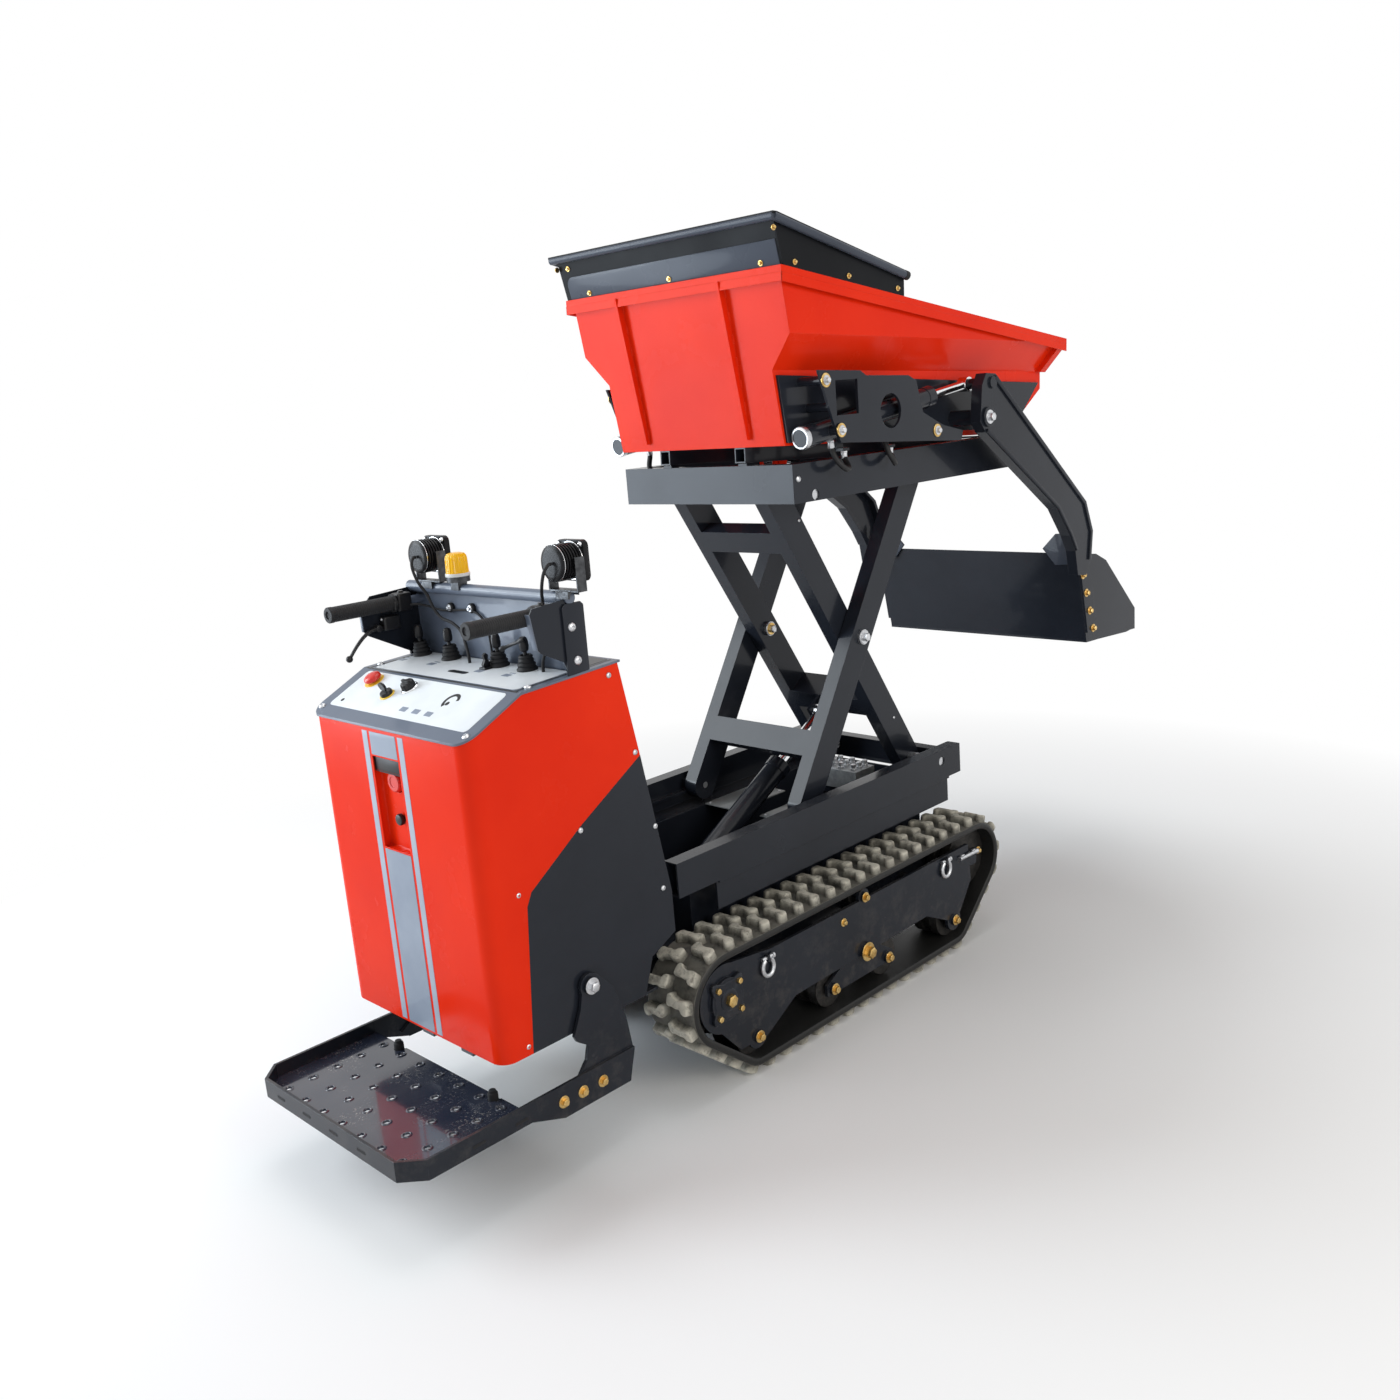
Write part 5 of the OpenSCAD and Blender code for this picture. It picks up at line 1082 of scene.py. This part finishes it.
def wings():
    bm = bmesh.new()
    sheet_y(bm, left_wing, 322, SHIELD_HALF)
    sheet_y(bm, right_wing, -SHIELD_HALF, -322)
    piece("shield_wings", bm, dark_paint, "chassis")
    flanges = bmesh.new()
    for (x0, z0), (x1, z1), inner, outer in ((*left_wing[3:5], 318.5, SHIELD_HALF),
                                             (*right_wing[4:6], -311, -SHIELD_HALF)):
        edge = [at(x0, inner, z0), at(x0, outer, z0), at(x1, outer, z1), at(x1, inner, z1)]
        slab(flanges, edge, TO_REAR * 3 * MM, 0.6)
    piece("wing_flanges", flanges, bezel_grey_and_painted_sky, "chassis")


def posts_and_tubes():
    rear, front = POST_X
    outline = [(rear, dash_top(rear) + 0.6), (front, dash_top(front) + 0.6), (front, POST_TOP - 8),
               (front - 8, POST_TOP), (rear + 8, POST_TOP), (rear, POST_TOP - 8)]
    posts = bmesh.new()
    tubes = bmesh.new()
    turn(tubes, at(TUBE_X, -POST_SIDE, TUBE_Z), TO_LEFT,
         [(12, 0), (15, 2), (15, TUBE_LENGTH - 2), (12, TUBE_LENGTH)], 32)
    for side in SIDES:
        sheet_y(posts, outline, side * 325.5, side * POST_SIDE)
        turn(tubes, at(-897, side * GRIP_Y, GRIP_Z), TO_REAR, [(11, 0), (11, 276), (9, 277)], 24)
    piece("bar_posts", posts, dark_paint, "chassis")
    piece("bar_tubes", tubes, bezel_grey_and_painted_sky, "chassis")


shield()
wings()
posts_and_tubes()
print("handlebar tube:", TUBE_LENGTH, "mm")

# %% [markdown]
# The handlebar ends in two rubber grips with fine ribs and a hollow end. The parking brake is a bent,
# tapering lever with a ball, so its rings follow a curve and shrink on the way. Small housings sit at the
# roots of the grips, and a lead from the left one is clipped along the shield.

# %% Grips, brake lever and housings
GRIP_ROOT = -990
GRIP_RIBS = 27
BRAKE_Y = 310
BALL_R = 9
SWITCH_LEAD_R = 3.0
CLIPS = ((164, 1341), (72, 1344))
UP = Vector((0, 0, 1))
brake_route = [(-1034, 1300), (-1056, 1297), (-1080, 1284), (-1104, 1263), (-1127, 1237)]
switch_route = [(-950, 276, 1350), (-938, 262, 1350), (-920, 246, 1344), (-908, 226, 1336),
                (-903.5, 196, 1332), (-903.5, 164, 1334), (-903.5, 130, 1336), (-903.5, 98, 1338),
                (-903.5, 72, 1338), (-903.5, 44, 1330), (-903.5, 22, 1312), (-903.5, 10, 1284),
                (-903.5, 6, 1252), (-904, 5, 1226), (-905, 5, 1214.4)]


def grip_profile():
    profile = [(24, 0), (24, 4.5), (22.5, 6), (19.2, 6.6)]
    for k in range(GRIP_RIBS):
        h = 12 + 6 * k
        profile += [(19.6, h), (19.6, h + 3.6), (18.9, h + 4.3), (18.9, h + 5.4)]
    return profile + [(20.4, 178), (20.4, 188), (19, 190), (10.4, 190), (9.6, 187), (0, 186)]


def rubber_grips():
    bm = bmesh.new()
    for side in SIDES:
        turn(bm, at(GRIP_ROOT, side * GRIP_Y, GRIP_Z), TO_REAR, grip_profile(), 32)
    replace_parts(piece("rubber_grips", bm, black_rubber, "chassis", 30), "grips")


def bent_brake_lever():
    bm = bmesh.new()
    path = smooth_path([at(x, BRAKE_Y, z) for x, z in brake_route], 6)
    bent_bar(bm, path, lambda share: (5.0 - 1.0 * share, 8.0 - 3.2 * share), 16)
    angles = [math.radians(a) for a in range(0, 181, 15)]
    ball = [(BALL_R * math.sin(a), -BALL_R * math.cos(a)) for a in angles]
    turn(bm, at(-1128, BRAKE_Y, 1236.5), Vector((-0.83, 0, -0.56)), ball, 24)
    turn(bm, at(-1034, BRAKE_Y - 10, 1300), TO_LEFT, [(7, 0), (9, 1), (9, 20), (7, 21)], 24)
    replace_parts(piece("brake_handle", bm, black_plastic, "brake_lever", 50), "brake_lever")


def grip_housings():
    bm = bmesh.new()
    spots = [((-1021, 309, 1321), TO_REAR, 4.5)]
    for side in SIDES:
        low, high = sorted((side * 274, side * 313))
        rounded_block(bm, at(-986, low, 1336), at(-944, high, 1384), 7, 3)
        turn(bm, at(-965, side * GRIP_Y, 1384), UP, [(8, -1), (8, 3), (6.5, 5), (0, 5)], 20)
        spots += [((-986, side * y, z), TO_REAR, 4.5) for y, z in ((284, 1345), (308, 1372))]
    rounded_block(bm, at(-1021, 296, 1291), at(-972, 321.6, 1328), 6, 3)
    rounded_block(bm, at(-1000, 270, 1342), at(-986, 300, 1366), 4, 3)
    piece("grip_housings", bm, black_plastic, "chassis")
    bolts("housing_screws", white_zinc, "chassis", spots, button_screw)


def lead_clips():
    pads = bmesh.new()
    for y, z in CLIPS:
        turn(pads, at(SHIELD_X, y, z), TO_REAR, [(13, 0), (13, 7), (11, 9.4), (6, 9.4)], 24)
    piece("lead_clips", pads, black_plastic, "chassis")
    bolts("clip_bolts", white_zinc, "chassis", [((SHIELD_X - 9.4, y, z), TO_REAR, 9) for y, z in CLIPS])


rubber_grips()
bent_brake_lever()
grip_housings()
free_line("switch_lead", switch_route, SWITCH_LEAD_R, black_rubber, "chassis")
lead_clips()

# %% [markdown]
# The work lamps are alloy barrels with cooling fins, closed by a square bezel with a screw at each corner.
# Inside, seven bright cups stand behind a pane of glass. The beacon is an amber lens with upright ribs
# on a pale foot. Lamp parts ride on the lamp's own body, because each lamp tilts on its yoke.

# %% Lamps and beacon
LAMP_X = -908
LAMP_Z = 1476
LAMPS = {"lamp_right": -326, "lamp_left": 222}
FINS = 6
BEZEL_HALF = 47.5
PANE_R = 39
SCREW_OFF = 38
CUP_OFF = 24
BEACON_AT = (-912, 100, 1427)
white_plastic = plastic("white_plastic", (0.62, 0.63, 0.62, 1), (0.70, 0.70, 0.69, 1), 0.4)


def finned_profile():
    profile = [(30, -40), (38, -39), (43, -36), (43, -33)]
    for k in range(FINS):
        h = -33 + 8 * k
        profile += [(36.5, h + 0.6), (36.5, h + 3.4), (43, h + 4), (43, h + 8)]
    return profile + [(41, 17), (41, 20)]


def hoop(bm, base, axis, profile, count=36):
    axis, side, up = square_to(axis)
    rows = []
    for a in turns(count):
        out = side * math.cos(a) + up * math.sin(a)
        rows.append([bm.verts.new(base + (axis * h + out * r) * MM) for r, h in profile])
    wrap(bm, rows, True)


def square_bezel(bm, centre):
    outer = soft_corners(-BEZEL_HALF, BEZEL_HALF, -BEZEL_HALF, BEZEL_HALF, 14, 6)
    steps = [(18, 0.98), (19, 1.0), (32, 1.0), (34, 0.975)]
    rings = [[centre + Vector((h, y * s, z * s)) * MM for y, z in outer] for h, s in steps]
    inner = [(y * PANE_R / math.hypot(y, z), z * PANE_R / math.hypot(y, z)) for y, z in outer]
    rings += [[centre + Vector((h, y, z)) * MM for y, z in inner] for h in (33.4, 26)]
    skin(bm, rings)


def lamp_bright(name, centre):
    bm = bmesh.new()
    hoop(bm, centre, TO_FRONT, [(40, 16), (44.6, 16), (45, 16.6), (45, 17.2), (40, 17.8)], 48)
    hoop(bm, centre, TO_FRONT, [(41, -36.2), (43.3, -35.6), (43.3, -34.4), (41, -34)], 48)
    for v, w in plain_box(-SCREW_OFF, SCREW_OFF, -SCREW_OFF, SCREW_OFF):
        button_screw(bm, centre + Vector((34, v, w)) * MM, TO_FRONT, 5)
        turn(bm, centre + Vector((18, v, w)) * MM, TO_REAR,
             [(6, 0), (6, 3), (5, 4), (3.4, 4), (3.4, 6), (2, 6.4)], 16)
    cups = [(0, 0)] + [(CUP_OFF * math.cos(a), CUP_OFF * math.sin(a)) for a in turns(6)]
    for v, w in cups:
        turn(bm, centre + Vector((26.1, v, w)) * MM, TO_FRONT,
             [(11, 0), (11, 2.5), (10, 2.5), (5, 0.8), (2, 1.4), (0, 1.6)], 20)
    piece(name + "_bright", bm, chrome, name)


def work_lamp(name, y):
    centre = at(LAMP_X, y, LAMP_Z)
    body = bmesh.new()
    turn(body, centre, TO_FRONT, finned_profile(), 48)
    square_bezel(body, centre)
    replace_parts(piece(name + "_housing", body, lamp_metal, name, 32), name)
    lamp_bright(name, centre)
    turned(name + "_glass", centre, TO_FRONT, [(38.6, 29), (38.6, 31.4), (37.6, 32), (0, 32)],
           lamp_glass, name, 48)


def ribbed_beacon():
    base = at(*BEACON_AT)
    turned("beacon_foot", base, UP, [(31, 0), (31.6, 1), (31.6, 7), (30.6, 8.4), (20, 8.4)],
           white_plastic, "chassis", 48)
    lens = bmesh.new()
    fluted(lens, base, UP, [(29, 8.4, 0), (29, 10, 1), (28, 44, 1), (26.4, 51, 1), (22, 57, 0.6),
                            (14, 59.4, 0), (0, 60, 0)], 22, 1.3)
    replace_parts(piece("beacon_lens", lens, amber_lens, "chassis", 25), "beacon")


for name, y in LAMPS.items():
    work_lamp(name, y)
ribbed_beacon()
print("lamps:", list(LAMPS))

# %% [markdown]
# The step that the driver stands on is punched and the metal is raised round each hole, which gives
# grip. A hoop, a small closed profile run round a circle, makes each rim. The slots in the step's rim that
# let water out are thin black sheets on its faces, painted shade where the open slots would be dark, and
# two rubber buffers stand at its front edge.

# %% Platform tread and slots
PLATFORM_REAR = -1536
TREAD_TOP = 209
TREAD_X = PLATFORM_REAR + 8.3 + 32
TREAD_STEP_X = 69
TREAD_STEP_Y = 86
TREAD_ROWS = 5
TREAD_COLUMNS = range(-3, 4)
slot_outline = soft_corners(-19, 19, -4, 4, 3.9)


def tread_rims():
    bm = bmesh.new()
    for i in range(TREAD_ROWS):
        for j in TREAD_COLUMNS:
            spot = at(TREAD_X + i * TREAD_STEP_X, j * TREAD_STEP_Y, TREAD_TOP)
            hoop(bm, spot, UP, [(8, -3.6), (8, 1.6), (9, 2.4), (10.4, 2.2), (13.6, 0.4), (13.6, -0.2)], 28)
    # The rims take the tread's paint, whose blue tint is a painted sky reflection.
    piece("tread_rims", bm, tread_paint_and_painted_sky, "platform", 60)


# Thin black sheets stand for the open drain slots: painted shade.
def painted_slot_shade():
    bm = bmesh.new()
    for side in SIDES:
        for x, z in ((-1226, 210), (-1347, 212)):
            outline = [at(x + u, side * PLATFORM_HALF, z + v) for u, v in slot_outline]
            slab(bm, outline, TO_LEFT * side * 0.4 * MM)
    for y in (218, 93, -32, -155):
        slab(bm, [at(PLATFORM_REAR, y + u, 216 + v) for u, v in slot_outline], TO_REAR * 0.4 * MM)
    piece("painted_slot_shade", bm, black_rubber, "platform")


def rubber_buffers():
    bm = bmesh.new()
    for side in SIDES:
        turn(bm, at(-1204, side * 207, 205), UP,
             [(13, 0), (13, 19), (12, 21.4), (9.4, 22), (9, 27), (8, 28), (0, 28)], 28)
    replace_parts(piece("rubber_buffers", bm, black_rubber, "platform", 40), "bumpers")


tread_rims()
painted_slot_shade()
rubber_buffers()
print("tread rims:", TREAD_ROWS * len(TREAD_COLUMNS))

# %% [markdown]
# The scissor arms turn on pins with bolted ends. The bolts ride with the arms that carry the pins, so
# they swing with them. Between the rails lie pale cover plates and a flow divider with screwed fittings.

# %% Lift bolts and deck
MID_PIVOT = (281.3, 1071.8)
FRONT_PIVOT = (572, 612)
TOP_PIVOT = (-9.4, 1531.6)
PIN_HEAD_IN = 128
PIN_HEAD_OUT = 250
DECK_TOP = 556
pale_plate = paint("pale_plate", (0.17, 0.18, 0.185, 1), (0.23, 0.24, 0.24, 1), (0.4, 0.4, 0.4, 1),
                   0.4, 0.2, 0.35)


def washer(bm, base, axis, size):
    turn(bm, base, axis, [(size, 0), (size, 2.2), (size - 0.8, 3), (size * 0.4, 3)], 28)


def facing_in(size):
    spots = []
    for x, z in (MID_PIVOT, FRONT_PIVOT, TOP_PIVOT):
        spots += [((x, -PIN_HEAD_IN, z), LEFT_SIDE, size), ((x, PIN_HEAD_IN, z), RIGHT_SIDE, size)]
    return spots


bolts("pin_washers", gold_zinc, "inner_arms", facing_in(20), washer)
bolts("pin_bolts", white_zinc, "inner_arms", facing_in(22))
bolts("pivot_bolts", white_zinc, "inner_arms", both_sides((*MID_PIVOT, PIN_HEAD_OUT, 22)))
arm_screws = both_sides((82, 1448, 188, 5), (493, 762, 188, 5))
bolts("arm_screws", white_zinc, "inner_arms", arm_screws, button_screw)


def deck_plates():
    bm = bmesh.new()
    for side in SIDES:
        low, high = sorted((side * 48, side * 186))
        rounded_block(bm, at(-25, low, 551.9), at(210, high, DECK_TOP), 1.5)
    piece("deck_plates", bm, pale_plate, "chassis")
    spots = [((x, side * y, DECK_TOP), UP, 5) for side in SIDES for x in (-12, 197) for y in (62, 172)]
    bolts("deck_screws", white_zinc, "chassis", spots, button_screw)


def divider_fittings():
    bm = bmesh.new()
    for x in (424, 455, 486):
        for y in (-66, -14, 36):
            base = at(x, y, 584)
            turn(bm, base, UP, [(11, 0), (11, 6), (9.6, 7), (8, 7)], 6)
            turn(bm, base, UP, [(7.4, 6), (7.4, 13), (9, 13.4), (9, 20), (7, 21)], 18)
    piece("divider_fittings", bm, white_zinc, "chassis")


deck_plates()
divider_fittings()

# %% [markdown]
# The skip leans forward by a few degrees, so its guard is drawn in the skip's own tilted frame and turned
# into drawing points by one helper. The guard's top edge is rolled into a bead with black end caps, and
# its rear sheet has a second layer along the rim, bolted through. The guard is painted near black, as
# painted shade under the bead, and the bead and the second layer are painted lighter, as a painted sky
# sheen. The skip's own rim is folded down.

# %% Guard and skip trim
SKIP_X = -114
SKIP_Z = 1672
SKIP_TILT = math.radians(2.5)
GUARD_X0 = -96
GUARD_X1 = 416
GUARD_BACK = 36
GUARD_SIDE = 420
BEAD_R = 11
BEAD_SIDE = 429
RIM_REAR = -104.5
RIM_FRONT = 1318
RIM_SIDE = 420.5
FOLD_TOP = 17
FOLD_DROP = 40
SHEET_T = 3


def skip_at(u, y, v):
    x = SKIP_X + u * math.cos(SKIP_TILT) + v * math.sin(SKIP_TILT)
    z = SKIP_Z - u * math.sin(SKIP_TILT) + v * math.cos(SKIP_TILT)
    return at(x, y, z)


def rim_height(u):
    return 446 + (u + 92) * (295 - 446) / 1411


GUARD_RISE = 122
GUARD_TOP = rim_height(GUARD_X0) + GUARD_RISE
GUARD_FRONT = rim_height(GUARD_X1) + 64


def rod(bm, start, end, radius):
    way = end - start
    length = way.length / MM
    turn(bm, start, way, [(radius - 1, 0), (radius, 1), (radius, length - 1), (radius - 1, length)], 20)


def guard_beads():
    beads = bmesh.new()
    caps = bmesh.new()
    u = GUARD_X0 - GUARD_BACK - 7
    v = GUARD_TOP - BEAD_R + 1
    rod(beads, skip_at(u, -434, v), skip_at(u, 434, v), BEAD_R)
    for side in SIDES:
        start = skip_at(u, side * BEAD_SIDE, v)
        end = skip_at(GUARD_X1, side * BEAD_SIDE, GUARD_FRONT - BEAD_R + 1)
        rod(beads, start, end, BEAD_R)
        tip = (end - start).normalized() * 12 * MM
        rod(caps, end - tip, end + tip * 0.3, BEAD_R + 1.5)
    piece("guard_beads", beads, painted_sky_sheen, "skip")
    piece("guard_caps", caps, black_rubber, "skip")


def rear_sheet(share, y):
    u = GUARD_X0 - 1 - (GUARD_BACK - 1) * share
    v = rim_height(GUARD_X0) + 0.3 + (GUARD_TOP - rim_height(GUARD_X0)) * share
    return skip_at(u, y, v)


SHEET_OUT = TO_LEFT.cross(rear_sheet(1, 0) - rear_sheet(0, 0)).normalized()
if SHEET_OUT.x > 0:
    SHEET_OUT.negate()


def doubled_band():
    bm = bmesh.new()
    corner = [(372 + 26 * math.cos(a), 36 + 26 * math.sin(a)) for a in turns(32)[:9]]
    outline = [(-412, 1), (398, 1), *corner, (-412, 62)]
    slab(bm, [rear_sheet(s / GUARD_RISE, y) for y, s in outline], SHEET_OUT * SHEET_T * MM, 0.8)
    piece("guard_band", bm, painted_sky_sheen, "skip")


def guard_rear_bolts():
    bm = bmesh.new()
    for y in (-352, -18, 312):
        hex_bolt(bm, rear_sheet(0.10, y) + SHEET_OUT * SHEET_T * MM, SHEET_OUT, 8)
    hex_bolt(bm, rear_sheet(0.70, 380), SHEET_OUT, 8)
    piece("guard_rear_bolts", bm, gold_zinc, "skip")


def rim_fold():
    bm = bmesh.new()
    rear = [skip_at(RIM_REAR, y, rim_height(RIM_REAR) - drop)
            for y, drop in plain_box(-RIM_SIDE, RIM_SIDE, FOLD_DROP, FOLD_TOP)]
    slab(bm, rear, TO_FRONT * SHEET_T * MM, 1.2)
    for side in SIDES:
        wall = [skip_at(u, side * RIM_SIDE, rim_height(u) - drop)
                for u, drop in plain_box(RIM_REAR, RIM_FRONT, FOLD_DROP, FOLD_TOP)]
        slab(bm, wall, TO_LEFT * -side * SHEET_T * MM, 1.2)
    piece("rim_fold", bm, red_paint, "skip")


guard_beads()
doubled_band()
rim_fold()
guard_rear_bolts()
side_spots = [(x, z, GUARD_SIDE, 8) for x, z in ((-220, 2210), (-146, 2129), (72, 2097), (288, 2066))]
bolts("guard_side_bolts", gold_zinc, "skip", both_sides(*side_spots))
bolts("frame_screws", white_zinc, "upper_frame", both_sides((-81, 1581, 333, 9)), button_screw)

# %% [markdown]
# The loader plates are held apart by spacers and bolted through, with yellow washers under white bolts.
# Each hose starts and ends in a crimped ferrule with a hexagon, turned along the hose's own direction.
# The shovel's cheeks are bolted to the loader arms by a slanted row of four. Lips along the arms, ears
# on the shovel and short weld stitches on the skip finish the front end.

# %% Loader bolts and ferrules
PLATE_OUT = 420
ARM_OUT = 457.2
LIP_T = 6.8
BARREL_Y = 362
EAR_X = 1261
STITCH_R = 3
WALL_LEAN = 92 / 446
FRONT_LIP = [(716, 1811), (1256, 1373), (1301, 1268), (1287, 1170), (1273, 1172), (1287, 1265),
             (1245, 1365), (707, 1800)]
REAR_LIP = [(657, 1648), (1074, 1370), (1155, 1271), (1191, 1214), (1200, 1219), (1163, 1277),
            (1081, 1378), (662, 1656)]
EAR = [(-400, 1264), (-345, 1260), (-295, 1208), (-344, 1152), (-400, 1156)]

plate_spots = both_sides((-48, 1834, PLATE_OUT, 19), (455, 1668, PLATE_OUT, 19), (2, 1701, 424, 19))
bolts("loader_washers", gold_zinc, "skip", plate_spots, washer)
plate_heads = [((x, y + 3 * way[1], z), way, 14) for (x, y, z), way, size in plate_spots]
bolts("loader_bolts", white_zinc, "skip", plate_heads)
bolts("loader_pivot_bolts", white_zinc, "skip", both_sides((670, 1691, 464.5, 22)))
cheek_spots = [(1290 + 68 * k / 3, 1115 - 199 * k / 3, 430, 15) for k in range(4)]
bolts("shovel_bolts", gold_zinc, "shovel", both_sides(*cheek_spots))


def ferrules():
    bm = bmesh.new()
    for hose in (hose_rear, hose_front):
        for route in (hose, mirrored(hose)):
            for first, second in ((route[0], route[1]), (route[-1], route[-2])):
                base = at(*first)
                way = at(*second) - base
                turn(bm, base, way, [(10.2, 0), (10.2, 5), (9.4, 6)], 6)
                turn(bm, base, way, [(9.4, 5), (9.4, 20), (8.6, 21.4), (7, 21.4)], 20)
    piece("hose_ferrules", bm, white_zinc, "loader_barrels")


def arm_lips():
    bm = bmesh.new()
    for side in SIDES:
        for outline in (FRONT_LIP, REAR_LIP):
            slab(bm, [at(x, side * ARM_OUT, z) for x, z in outline], TO_LEFT * side * LIP_T * MM, 1.2)
    piece("arm_lips", bm, dark_paint, "shovel")


def shovel_ears():
    bm = bmesh.new()
    for side in SIDES:
        slab(bm, [at(EAR_X, side * y, z) for y, z in EAR], TO_REAR * 6 * MM, 1.0)
    # The ears take the lightened copy of the dark paint, a painted sky sheen.
    piece("shovel_ears", bm, painted_sky_sheen, "shovel")


def barrel_rings():
    bm = bmesh.new()
    way = at(698, 0, 1791) - at(2, 0, 1701)
    for side in SIDES:
        base = at(2, side * BARREL_Y, 1701)
        hoop(bm, base, way, [(24, -101), (28, -101), (31, -98.6), (31, -86), (24, -86)], 36)
    piece("barrel_rings", bm, white_zinc, "loader_barrels")


def weld_stitches():
    bm = bmesh.new()
    for y in (-205, -195, 195, 205):
        for k in range(7):
            low = 42 + 58 * k
            ends = [skip_at(-v * WALL_LEAN - 1, y, v) for v in (low, low + 22)]
            rod(bm, *ends, STITCH_R)
    piece("weld_stitches", bm, red_paint, "skip")


ferrules()
arm_lips()
shovel_ears()
barrel_rings()
weld_stitches()

# %% [markdown]
# The studio is a pale floor under soft light. The floor is matt near the machine, so it keeps the
# shadow, and turns into plain white further out, so there is no horizon line. The world is white where
# it is seen or mirrored, and dimmer as a light, which leaves room for the lamps.

# %% Floor and world
FLOOR_Z = -0.0006
MATT_TO = 1.3
WHITE_FROM = 3.4
WORLD_LIGHT = 0.42


def floor_finish():
    finish, tree, shade = new_finish("pale_floor")
    wire(tree, shade, {"Base Color": (0.86, 0.86, 0.86, 1), "Roughness": 0.9, "Specular IOR Level": 0.1})
    away = node(tree, "VectorMath")
    away.operation = "LENGTH"
    wire(tree, away, {0: node(tree, "TexCoord").outputs["Object"]})
    far = spread(tree, away.outputs["Value"], MATT_TO, WHITE_FROM)
    white = node(tree, "Emission", {"Strength": 1.0})
    both = node(tree, "MixShader", {0: far, 1: shade.outputs[0], 2: white.outputs[0]})
    wire(tree, tree.nodes["Material Output"], {"Surface": both.outputs[0]})
    return finish


def pale_floor():
    bm = bmesh.new()
    rings = []
    for radius in (0.01, 1.0, 2.0, 4.0, 8.0, 60.0):
        rings.append([Vector((radius * math.cos(a), radius * math.sin(a), FLOOR_Z)) for a in turns(64)])
    skin(bm, rings, (True, False))
    for face in bm.faces:
        if face.normal.z < 0:
            face.normal_flip()
    mesh = bpy.data.meshes.new("floor")
    bm.to_mesh(mesh)
    bm.free()
    mesh.materials.append(floor_finish())
    placed("floor", mesh)


def white_world():
    world = bpy.data.worlds.new("studio")
    world.use_nodes = True
    tree = world.node_tree
    light = tree.nodes["Background"]
    wire(tree, light, {"Color": (0.97, 0.985, 1.0, 1), "Strength": WORLD_LIGHT})
    seen = node(tree, "Background", {"Color": (1, 1, 1, 1), "Strength": 1.0})
    path = node(tree, "LightPath").outputs
    first = combine(tree, "MAXIMUM", path["Is Camera Ray"], path["Is Glossy Ray"])
    shown = combine(tree, "MAXIMUM", first, path["Is Transmission Ray"])
    both = node(tree, "MixShader", {0: shown, 1: light.outputs[0], 2: seen.outputs[0]})
    wire(tree, tree.nodes["World Output"], {"Surface": both.outputs[0]})
    bpy.context.scene.world = world


pale_floor()
white_world()
bpy.context.scene.view_settings.view_transform = "Standard"
print("floor and world ready")

# %% [markdown]
# Four area lamps shape the machine. The main one stands behind the machine on its left and lights the
# rear faces, and a low one beside it is mirrored in the dark steel. A weaker one on the right opens up
# the side, and a wide one overhead draws the top edges.

# %% Lamps of the studio
def area_lamp(name, place, target, size, power, colour=(1, 1, 1)):
    data = bpy.data.lights.new(name, "AREA")
    data.shape = "DISK"
    data.size = size
    data.energy = power
    data.color = colour
    way = Vector(target) - Vector(place)
    heading = way.to_track_quat("-Z", "Y").to_matrix().to_4x4()
    placed(name, data).matrix_world = Matrix.Translation(Vector(place)) @ heading


area_lamp("main_lamp", (-3.7, 3.75, 3.3), (0, 0, 1.1), 3.4, 204, (0.87, 0.945, 1.0))
area_lamp("rear_lamp", (-3.5, 3.2, 1.25), (-0.2, 0, 1.5), 2.2, 84, (0.79, 0.895, 1.0))
area_lamp("side_lamp", (-0.6, -5.2, 3.0), (0, 0, 1.0), 3.0, 95, (1.0, 0.94, 0.86))
area_lamp("top_lamp", (0.2, 0.4, 6.0), (-0.3, 0, 1.0), 4.0, 90)
print("lamps ready")
